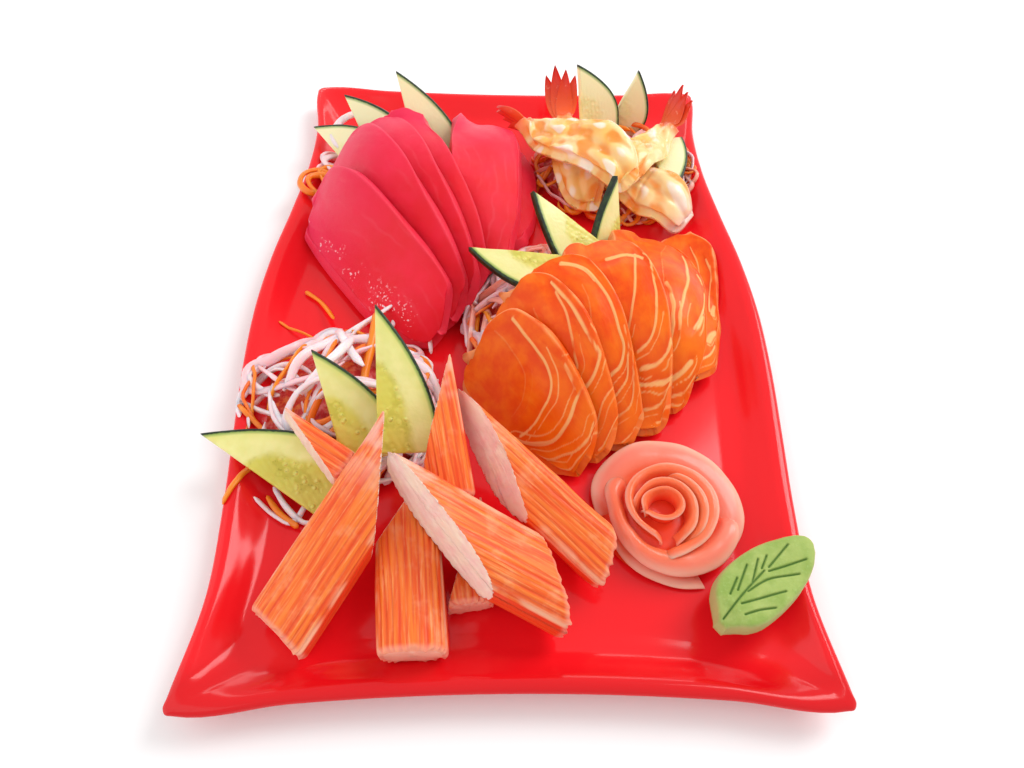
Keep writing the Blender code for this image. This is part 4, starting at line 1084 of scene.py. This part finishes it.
def petal(thick, foot_rise, course):
    """A curved strip of ginger: it rises from its foot, and its lip folds outwards. Gives its points with
    its faces, how near the lip each point is, and how far along the petal."""
    course = np.array(course, float)
    count = max(12, int((course[-1, 0] - course[0, 0]) / PETAL_STEP))
    at = spaced(0, len(course) - 1, count, (0.0, 0.01, 0.03, 0.06))
    turn, lip, foot, crest, drop = between(course, at).T
    ends = np.clip(np.minimum(at, at[-1] - at) / 0.55, 0, 1) ** 0.6
    crest = foot_rise + (crest - foot_rise) * (0.35 + 0.65 * ends)
    t = spaced(0, 1, PETAL_ROWS, (0.0, 0.008, 0.025, 0.05))[:, None]
    radii = (foot, foot + 0.1 * (lip - foot), foot + 0.62 * (lip - foot), lip)
    rises = (foot_rise + 0 * crest, crest + 0.6, crest + 1.2, crest - drop)
    weights = ((1 - t) ** 3, 3 * t * (1 - t) ** 2, 3 * t**2 * (1 - t), t**3)
    radius, rise = (sum(w * r for w, r in zip(weights, reaches)) for reaches in (radii, rises))
    angle = np.radians(turn)
    sheet = np.stack([ROSE_AT[0] + radius * np.cos(angle), ROSE_AT[1] + radius * np.sin(angle), rise], -1)
    sheet = sheet + surface_normals(sheet) * (0.25 * lumps(sheet, 12, 170 + int(thick * 10)))[..., None]
    normal = unit(np.cross(np.gradient(sheet, axis=0), np.gradient(sheet, axis=1)))
    rim = np.minimum(np.minimum(t, 1 - t) / 0.055, np.minimum(at, at[-1] - at) / 0.07)
    half = (thick / 2 * np.sqrt(1 - (1 - np.clip(rim, 0, 1)) ** 2) * 0.95 + 0.03)[..., None]
    points = two_sides(sheet + normal * half, sheet - normal * half)
    lip, run = (np.tile(np.broadcast_to(field, radius.shape).ravel(), 2) for field in (t, angle * 18))
    return (points, slab_faces(*radius.shape)), lip, run


def make_rose(look):
    parts, lips, runs = zip(*(petal(*one) for one in PETALS))
    points, faces = joined(parts)
    outer = np.hypot(*(points[:, :2] - ROSE_AT).T) / ROSE_REACH
    values = {"lip": np.concatenate(lips), "along": np.concatenate(runs), "outer": outer}
    add_piece("ginger_petals", points, faces, look, ["ginger_rose"], values)
    grid = np.array([np.column_stack([ROSE_AT + radius * circle(HEART_SIDES), np.full(HEART_SIDES, rise)])
                     for radius, rise in HEART])
    flat = np.zeros(grid.shape[:2])
    add_piece("ginger_heart", grid, ring_faces(len(grid), HEART_SIDES), look, (),
              {"lip": flat, "along": flat, "outer": flat})


# ---------------------------------------------------------------- wasabi leaf


LEAF_TOP, LEAF_ROUND = 9.3, 1.5  # thickness, and the radius of the upper edge
LEAF_ROWS, LEAF_COLUMNS = 180, 96
LEAF_STEPS = (0.0, 0.12, 0.35, 0.7, 1.2)
VEIN_DEPTH, VEIN_HALF = 0.8, 0.3
LEAF_STEM = (62.5, -131.5)
LEAF_TURN = math.radians(41)
LEAF_LENGTH = 42.0
# Half of the leaf's width at distances along it
LEAF_HALF = ((0, 2, 5.4, 10, 17.5, 25, 31, 36, 39.5, 41.3, 42),
             (1.6, 3.4, 7.2, 9.4, 10, 9.4, 8, 6, 4, 2.2, 0.4))
# How far the middle of the leaf lies to the right of a straight line, at distances along it
LEAF_MIDDLE = ((0.0, 5.0, 17.0, 27.0, 35.0, 42.0), (-0.3, -0.9, -0.7, 0.1, 0.9, 0.9))
# Veins pressed into the leaf: distances along it and to the right of its middle, in millimetres
VEINS = (
    ((1.5, -1.2), (10.5, -2.0), (22.0, -2.3)), ((8.1, -4.6), (13.8, -6.4)), ((10.8, -3.8), (19.4, -7.0)),
    ((16.2, -2.3), (23.5, -5.9)), ((22.0, -3.2), (26.5, -4.8)), ((24.0, -2.0), (34.5, -2.6)),
    ((23.0, -1.2), (35.0, 4.2)), ((12.9, -1.5), (20.9, 0.4), (29.5, 5.6)), ((8.3, -0.4), (21.6, 6.2)),
    ((6.5, 2.4), (10.8, 4.4), (15.0, 7.2)),
)


def make_leaf(look):
    """A leaf pressed from paste: a flat top with rounded edges and veins cut into it."""
    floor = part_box("wasabi_leaf")[0][2] / MM
    ahead = unit(np.array((math.cos(LEAF_TURN), math.sin(LEAF_TURN), 0.0)))
    right = np.array((ahead[1], -ahead[0], 0.0))
    along = spaced(0.0, LEAF_LENGTH, LEAF_ROWS, LEAF_STEPS)[:, None]
    half, middle = (between(np.array(widths, float), np.interp(along[:, 0], at, np.arange(len(at))))[:, None]
                    for at, widths in (LEAF_HALF, LEAF_MIDDLE))
    v = spaced(-10, 10, LEAF_COLUMNS, LEAF_STEPS) / 10
    across = middle + half * v
    along = np.broadcast_to(along, across.shape)
    to_end = np.minimum(along, LEAF_LENGTH - along)
    edge = np.minimum(np.minimum(to_end + 0.3 * half, half * (1 - np.abs(v))), to_end * 2.5)
    nearest = np.min([beside_line(along, across, smooth_line(vein, 12))[0] for vein in VEINS], axis=0)
    cut = np.exp(-((nearest / VEIN_HALF) ** 2))
    flat = np.array((*LEAF_STEM, floor)) + along[..., None] * ahead + across[..., None] * right
    belly = 0.72 + 0.28 * np.clip(along / 6, 0, 1) ** 0.7
    top = LEAF_TOP * belly - rounded_off(edge, LEAF_ROUND) + 0.35 * lumps(flat, 14, 7) - VEIN_DEPTH * cut
    upper = (flat + np.array((0.0, 0.0, 1.0)) * top[..., None]).reshape(-1, 3)
    hub = flat.mean((0, 1))
    above, first = border(*across.shape), len(upper)
    rim = upper[above]
    points, faces = [upper], grid_faces(*across.shape).tolist()
    for share in (0.75, 0.5, 0.25, 0.0):
        ring = rim.copy()
        ring[:, 2] = floor + (rim[:, 2] - floor) * share
        out = unit((ring - hub) * (1, 1, 0))
        bulge = 0.5 * math.sin(math.pi * share) - 0.5 * (share == 0) + 0.2 * lumps(ring, 8, 9)[:, None]
        points.append(ring + out * bulge)
        below = first + np.arange(len(ring))
        faces += np.stack([above, np.roll(above, -1), np.roll(below, -1), below], 1).tolist()
        above, first = below, first + len(ring)
    faces.append(above.tolist())
    wall = np.ones(first - len(upper))
    values = {"side": np.concatenate([(1 - np.clip(edge / 0.8, 0, 1)).ravel(), wall]),
              "cut": np.concatenate([cut.ravel(), 0 * wall])}
    add_piece("carved_leaf", np.concatenate(points), faces, look, ["wasabi_leaf"], values)


# ---------------------------------------------------------------- shredded vegetables


GROUPS = ("tuna", "salmon", "prawn", "crab")
RADISH_COUNT = {"tuna": 80, "salmon": 80, "prawn": 20, "crab": 36}
CARROT_COUNT = {"tuna": 45, "salmon": 45, "prawn": 38, "crab": 20}
WIDER = {"tuna": 1.0, "salmon": 1.25, "prawn": 1.0, "crab": 1.3}
WARMER = {"tuna": 0.5, "salmon": 0.9, "prawn": 0.9, "crab": 0.0}
STRAND_STEP, STRAND_SIDES = 1.4, 7
# Scattered strands: least and most half-width, least and most length, how much they curl, and the share
# of the way to the heap's outline at which they turn back
RADISH = (1.1, 1.6, 30, 66, 0.055, 1.0)
CARROT = (0.9, 1.4, 24, 52, 0.04, 0.97)
RADISH_FLAT, CARROT_FLAT = 0.5, 0.6  # thickness as a share of the width
PLATE_FLOOR = 4.5
PLATE_TREE = solid_tree("plate")
SKY = 200.0  # a height above everything
CORE_RISE = {"tuna": 0.8, "salmon": 0.8, "prawn": 0.8, "crab": 0.5}
CORE_SIDES, CORE_SHARES = 72, (0.2, 0.4, 0.6, 0.75, 0.86, 0.93)
CORE_FOOT = PLATE_FLOOR + 0.5


def strand_tree():
    """Geometry Nodes: sweeps a flattened section along edges, as thick and as turned as they say."""
    tree = bpy.data.node_groups.new("shred", "GeometryNodeTree")
    sockets = {}
    for name, kind, way in (("Strands", "NodeSocketGeometry", "INPUT"), ("Sides", "NodeSocketInt", "INPUT"),
                            ("Flatness", "NodeSocketFloat", "INPUT"), ("Look", "NodeSocketMaterial", "INPUT"),
                            ("Shreds", "NodeSocketGeometry", "OUTPUT")):
        sockets[name] = tree.interface.new_socket(name, in_out=way, socket_type=kind).identifier

    def node(kind, inputs, settings=None):
        made = tree.nodes.new(kind)
        for key, value in (settings or {}).items():
            setattr(made, key, value)
        for key, value in inputs.items():
            if isinstance(value, bpy.types.NodeSocket):
                tree.links.new(value, made.inputs[key])
            else:
                made.inputs[key].default_value = value
        return made

    def stored(name):
        made = node("GeometryNodeInputNamedAttribute", {"Name": name}, {"data_type": "FLOAT"})
        return made.outputs["Attribute"]

    given = tree.nodes.new("NodeGroupInput")
    curves = node("GeometryNodeMeshToCurve", {"Mesh": given.outputs["Strands"]})
    tilted = node("GeometryNodeSetCurveTilt", {"Curve": curves.outputs[0], "Tilt": stored("twist")})
    circle = node("GeometryNodeCurvePrimitiveCircle", {"Resolution": given.outputs["Sides"], "Radius": MM})
    shape = node("ShaderNodeCombineXYZ", {"X": 1.0, "Y": given.outputs["Flatness"], "Z": 1.0})
    section = node("GeometryNodeTransform", {"Geometry": circle.outputs["Curve"], "Scale": shape.outputs[0]})
    swept = node("GeometryNodeCurveToMesh", {"Curve": tilted.outputs[0], "Profile Curve": section.outputs[0],
                                             "Scale": stored("size"), "Fill Caps": True})
    smooth = node("GeometryNodeSetShadeSmooth", {"Geometry": swept.outputs[0]})
    real = node("GeometryNodeRealizeInstances", {"Geometry": smooth.outputs[0]})
    painted = node("GeometryNodeSetMaterial", {"Geometry": real.outputs[0],
                                               "Material": given.outputs["Look"]})
    result = tree.nodes.new("NodeGroupOutput")
    tree.links.new(painted.outputs[0], result.inputs["Shreds"])
    return tree, sockets


def sweep(name, strands, flatness, look, tree, sockets):
    """One piece made of all the strands given: each is its points, half-width, twist and tone."""
    points = np.concatenate([s[0] for s in strands])
    edges, first = [], 0
    for s in strands:
        edges += [(first + k, first + k + 1) for k in range(len(s[0]) - 1)]
        first += len(s[0])
    mesh = bpy.data.meshes.new(name)
    mesh.from_pydata((points * MM).tolist(), edges, [])
    write_values(mesh, {key: np.concatenate([s[column] for s in strands])
                        for key, column in (("size", 1), ("twist", 2), ("tone", 3))})
    made = placed(name, mesh)
    sweeper = made.modifiers.new("shred", "NODES")
    sweeper.node_group = tree
    sweeper[sockets["Sides"]] = STRAND_SIDES
    sweeper[sockets["Flatness"]] = flatness
    sweeper[sockets["Look"]] = look
    view = bpy.context.evaluated_depsgraph_get()
    solid = bpy.data.meshes.new_from_object(made.evaluated_get(view), depsgraph=view)
    made.modifiers.clear()
    made.data = solid
    bpy.data.meshes.remove(mesh)
    shape = bmesh.new()
    shape.from_mesh(solid)
    bmesh.ops.remove_doubles(shape, verts=shape.verts[:], dist=1e-6)
    bmesh.ops.recalc_face_normals(shape, faces=shape.faces[:])
    shape.to_mesh(solid)
    shape.free()
    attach(made, "root")


def strand_of(line, half_width, rng, tone):
    """A strand along a line of points, thinner towards its ends."""
    line = np.asarray(line, float)
    t = np.linspace(0, 1, len(line))
    taper = np.clip(np.minimum(t, 1 - t) * 9 + 0.35, 0, 1)
    size = half_width * taper * (1 + 0.08 * np.sin(9 * t + rng.uniform(0, 6)))
    twist = rng.uniform(0, math.pi) + t * rng.uniform(-2.2, 2.2)
    return line, size, twist, np.full(len(line), tone)


class Heap:
    """What strands of one heap lie on and under."""

    CELL = 1.5
    MARGIN = 10  # how far the grid reaches past the heap

    def __init__(self, group, lid):
        node = f"shreds_{group}"
        plan = cad_mesh(node)[0][:, :2]
        self.low, high = plan.min(0) - self.MARGIN, plan.max(0) + self.MARGIN
        self.centre = (self.low + high) / 2
        self.half = (high - self.low) / 2 - self.MARGIN
        axes = [np.arange(low, top + self.CELL, self.CELL) for low, top in zip(self.low, high)]
        gx, gy = np.meshgrid(*axes, indexing="ij")
        top = heights(solid_tree(node), gx, gy, SKY, -1)
        plate = heights(PLATE_TREE, gx, gy, SKY, -1)
        self.ground = np.fmax(np.where(np.isnan(top), PLATE_FLOOR, top), plate)
        over = heights(lid, gx, gy, self.ground + 0.1, 1)
        self.room = np.where(np.isnan(over), 60.0, over - self.ground)
        self.inside = ~np.isnan(top)

    def read(self, field, spots):
        """A field of the grid at points, straight between its cells."""
        at = (spots - self.low) / self.CELL
        at = np.clip(at, 0, np.array(field.shape) - 1.001)
        i, j = at.astype(int).T
        u, v = (at - at.astype(int)).T
        return ((1 - u) * (1 - v) * field[i, j] + u * (1 - v) * field[i + 1, j]
                + (1 - u) * v * field[i, j + 1] + u * v * field[i + 1, j + 1])

    def walk(self, rng, length, curl, stay):
        """Plan of a strand that wanders over the heap and turns back at its outline."""
        rows, columns = np.nonzero(self.inside)
        k = rng.integers(len(rows))
        spot = self.low + np.array((rows[k], columns[k])) * self.CELL
        heading = rng.uniform(0, 2 * math.pi)
        bend = rng.normal(0, curl)
        line = [spot]
        for _ in range(int(length / STRAND_STEP)):
            heading += bend + rng.normal(0, 0.06)
            ahead = spot + STRAND_STEP * np.array((math.cos(heading), math.sin(heading)))
            away = (ahead - self.centre) / self.half
            if np.hypot(*away) > stay:
                home = math.atan2(*(self.centre - ahead)[::-1])
                turn = (home - heading + math.pi) % (2 * math.pi) - math.pi
                heading += 0.35 * np.sign(turn)
                ahead = spot + STRAND_STEP * np.array((math.cos(heading), math.sin(heading)))
            line.append(ahead)
            spot = ahead
        return np.array(line)

    def strand(self, rng, half_width, length, curl, stay, tone):
        """A strand that wanders over the heap, some of it sunk in, under whatever lies on top."""
        plan = self.walk(rng, length, curl, stay)
        ground = self.read(self.ground, plan)
        room = self.read(self.room, plan)
        depth = rng.uniform(0.0, 0.22)
        t = np.linspace(0, 1, len(plan))
        arch = rng.uniform(0, 3.5) * np.sin(math.pi * t) ** 2 + 0.7 * np.sin(9 * t + rng.uniform(0, 6))
        rise = ground - (ground - PLATE_FLOOR) * depth + half_width + np.clip(arch, -0.5, None)
        rise = np.minimum(rise, ground + np.maximum(room - 1.0, -2.0))
        rise = np.maximum(evened(rise[:, None], 4)[:, 0] if len(rise) > 3 else rise, PLATE_FLOOR + half_width)
        return strand_of(np.column_stack([plan, rise]), half_width, rng, tone)


def scattered(heap, rng, count, kind, wider=1.0, warmer=0.0):
    thin, thick, short, long, curl, stay = kind
    return [heap.strand(rng, rng.uniform(thin, thick) * wider, rng.uniform(short, long), curl, stay,
                        rng.uniform(0, 1) + warmer)
            for _ in range(count)]


def make_core(group, heap, look):
    """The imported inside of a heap, lower than its loose strands."""
    ground = np.where(heap.inside, heap.ground, PLATE_FLOOR + 1.5)
    rings = []
    for share in CORE_SHARES:
        plan = heap.centre + share * heap.half * circle(CORE_SIDES) * 0.94
        rise = CORE_FOOT + (heap.read(ground, plan) - PLATE_FLOOR - 0.5) * (CORE_RISE[group] - 0.3 * share**3)
        spot = np.column_stack([plan, rise])
        spot[:, 2] += 0.5 * lumps(spot, 4.0, 200)
        rings.insert(0, spot)
    foot = rings[0].copy()
    foot[:, 2] = CORE_FOOT
    under = np.column_stack([heap.centre * 0.5 + foot[:, :2] * 0.5, foot[:, 2]])
    grid = np.array([under, foot] + rings)
    faces = ring_faces(len(grid), CORE_SIDES)
    add_piece(f"shreds_core_{group}", grid, faces, look, [f"shreds_{group}"])


# Strands that stand out on each heap: kind, half-width, points in millimetres
STRAYS = {
    "crab": (
        ("carrot", 0.9, ((-85.6, 13.5, 6), (-78, 7, 6.4), (-71, -4, 9))),
        ("carrot", 0.6, ((-93, -5, 5.6), (-82, -10.6, 7.5), (-71, -19, 9))),
        ("carrot", 0.9, ((-57, 20, 22), (-52.5, 6.5, 19), (-48, -4, 16), (-45, -11, 12))),
        ("carrot", 1.2, ((-97, -88, 6.2), (-94, -80, 9), (-91, -74, 11), (-84, -66, 12))),
        ("carrot", 2.8, ((-52, -10, 20), (-52.5, -24, 19), (-54, -38, 17), (-54, -48, 14))),
        ("radish", 1.2, ((-33, 9, 15), (-41, 2, 17), (-50, -7, 17.5), (-58, -13, 16.5), (-66, -18, 14))),
        ("radish", 1.2, ((-66, -30, 12), (-60, -18, 17), (-52, -12, 18.5), (-47, -20, 17), (-46, -32, 14))),
        ("radish", 1.2, ((-47, -12, 13), (-42, -3, 16), (-36, -7, 15), (-32, -15, 11), (-31, -20, 7))),
        ("radish", 1.3, ((-98, -54, 6), (-99, -44, 9), (-93, -35, 12), (-85, -31, 14), (-76, -34, 14),
                         (-70, -42, 12))),
        ("radish", 1.3, ((-94, -58, 7), (-95, -49, 10), (-88, -41, 13), (-80, -39, 14.5), (-74, -46, 13),
                         (-71, -54, 10))),
        ("radish", 1.2, ((-100, -50, 7), (-96, -40, 10), (-89, -33, 13), (-81, -36, 15), (-76, -43, 14))),
        ("radish", 1.1, ((-88, -84, 6), (-80, -90, 6.4), (-74, -92, 6.4), (-70, -86, 8))),
        ("radish", 1.1, ((-82, -80, 9), (-77, -87, 8), (-71, -92, 6.5), (-66, -92, 6.5))),
        ("carrot", 1.1, ((-84, -83, 8), (-79, -89, 7), (-72, -94, 6.4))),
    ),
    "salmon": (
        ("radish", 1.2, ((-18, 4, 8), (-18.5, 14, 13), (-12, 20, 17), (-5, 17, 17), (-5, 8, 13),
                         (-10, 2, 9))),
        ("radish", 1.1, ((-26, 8, 6), (-20, 7, 8.5), (-13, 3.5, 11))),
        ("radish", 1.1, ((-26, 0, 6), (-19, 1, 8), (-12, -3, 11))),
        ("radish", 1.2, ((-31, -16, 6.2), (-30, -6, 6.6), (-24, 2, 7.5), (-16, 4, 10))),
        ("carrot", 1.0, ((-20, 18, 8), (-16, 25, 12), (-10, 29, 14))),
        ("carrot", 1.0, ((-8.5, -48, 8), (-5, -44, 13), (-5.5, -40, 17), (-9, -37, 20))),
        ("radish", 1.4, ((54, -40, 6.5), (60, -44, 6.4), (66, -43, 6.4), (62, -38, 7))),
    ),
    "tuna": (
        ("carrot", 1.7, ((-81, 82, 11), (-88, 83, 14), (-94, 79, 15), (-95, 72, 15), (-90, 67, 14),
                         (-83, 69, 12))),
        ("carrot", 1.5, ((-79, 77, 12), (-85, 79, 14), (-91, 76, 15.5), (-90, 70, 15.5), (-84, 66, 12),
                         (-78, 66, 10))),
        ("radish", 1.7, ((-74, 98, 16), (-80, 97, 17), (-83, 103, 19), (-80, 112, 20.5), (-73, 117, 21),
                         (-65, 116.5, 20), (-59, 111, 18.5), (-55, 104, 16.5))),
    ),
    "prawn": (
        ("carrot", 1.1, ((80, 97, 12), (87, 93, 9), (87, 84, 8), (81, 81, 9), (77, 87, 11))),
        ("carrot", 1.0, ((84, 104, 14), (90, 95, 9), (86, 86, 8))),
    ),
}


def make_shreds(radish, carrot, core):
    tree, sockets = strand_tree()
    solids = [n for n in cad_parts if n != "plate" and not n.startswith("shreds_")]
    lid = solid_tree(*solids)
    for number, group in enumerate(GROUPS):
        rng = np.random.default_rng(300 + number)
        heap = Heap(group, lid)
        make_core(group, heap, core)
        white = scattered(heap, rng, RADISH_COUNT[group], RADISH, WIDER[group], WARMER[group])
        orange = scattered(heap, rng, CARROT_COUNT[group], CARROT)
        for kind, half_width, corners in STRAYS[group]:
            line = smooth_line(corners, 10 * len(corners))
            below = heights(PLATE_TREE, line[:, 0], line[:, 1], SKY, -1)
            line[:, 2] = np.fmax(line[:, 2], below + 0.7 * half_width)
            kin = white if kind == "radish" else orange
            kin.append(strand_of(line, half_width, rng, rng.uniform(0, 0.5)))
        sweep(f"radish_shreds_{group}", white, RADISH_FLAT, radish, tree, sockets)
        sweep(f"carrot_shreds_{group}", orange, CARROT_FLAT, carrot, tree, sockets)


# ---------------------------------------------------------------- main


CAMERA_PLACE = (-7.9, -200.8, 239.4)
CAMERA_DOWN, CAMERA_TURN, CAMERA_ROLL = 54.36, 3.01, -2.81  # degrees
SENSOR_WIDTH, FOCAL_LENGTH = 36.0, 26.02
# Lamps, in metres: name, place, size, power
LAMPS = (
    ("key", (0.7, 0.42, 0.8), (0.5, 0.7), 7.0),
    ("fill", (-1.0, -0.3, 0.7), (1.6, 1.6), 5.2),
    ("strip", (0, 1.25, 0.5), (1.3, 0.14), 1.6),
)
SKY_POWER = 0.72


def camera():
    """A wide lens near the front edge, looking down at the plate."""
    made = placed("camera", bpy.data.cameras.new("camera"))
    made.data.sensor_width = SENSOR_WIDTH
    made.data.lens = FOCAL_LENGTH
    made.data.clip_start = 0.01
    down, turn, roll = (math.radians(a) for a in (CAMERA_DOWN, CAMERA_TURN, CAMERA_ROLL))
    ahead = Vector((math.sin(turn) * math.cos(down), math.cos(turn) * math.cos(down), -math.sin(down)))
    right = Vector((math.cos(turn), -math.sin(turn), 0.0))
    below = ahead.cross(right)
    across = right * math.cos(roll) + below * math.sin(roll)
    upward = right * math.sin(roll) - below * math.cos(roll)
    axes = Matrix((across, upward, -ahead)).transposed().to_4x4()
    made.matrix_world = Matrix.Translation(Vector(CAMERA_PLACE) * MM) @ axes
    bpy.context.scene.camera = made


def light(name, place, size, power):
    """A soft rectangular lamp that shines at the middle of the plate."""
    lamp = bpy.data.lights.new(name, "AREA")
    lamp.shape = "RECTANGLE"
    lamp.size, lamp.size_y = size
    lamp.energy = power
    made = placed(name, lamp)
    made.location = place
    made.rotation_mode = "QUATERNION"
    made.rotation_quaternion = (-Vector(place)).to_track_quat("-Z", "Y")


TABLE_REACH, TABLE_DROP = 4.0, 0.0004  # metres


def studio():
    world = bpy.data.worlds.new("studio")
    world.use_nodes = True
    sky = world.node_tree.nodes["Background"].inputs
    sky["Color"].default_value = (1, 1, 1, 1)
    sky["Strength"].default_value = SKY_POWER
    bpy.context.scene.world = world
    bpy.context.scene.view_settings.view_transform = "Standard"
    for lamp in LAMPS:
        light(*lamp)
    table = bpy.data.meshes.new("table")
    corners = [(x * TABLE_REACH, y * TABLE_REACH, 0) for x, y in ((-1, -1), (1, -1), (1, 1), (-1, 1))]
    table.from_pydata(corners, [], [(0, 1, 2, 3)])
    look = Look("pale_table")
    table.materials.append(look.finish((255, 255, 255), 0.9))
    floor = placed("table", table)
    floor.location.z = -TABLE_DROP


camera()
studio()
make_plate()
tuna, salmon, meat, shell = tuna_look(), salmon_look(), prawn_look(), tail_look()
crab, cucumber, ginger = crab_look(), cucumber_look(), ginger_look()
for number in range(1, 7):
    make_tuna(number, tuna)
    make_salmon(number, salmon)
for number in range(1, 5):
    make_prawn(number, meat, shell)
for number in range(1, 8):
    make_crab_stick(number, crab)
for group in GROUPS:
    for number in (1, 2, 3):
        make_cucumber(group, number, cucumber)
make_rose(ginger)
make_leaf(wasabi_look())
make_shreds(radish_look(), carrot_look(), core_look())
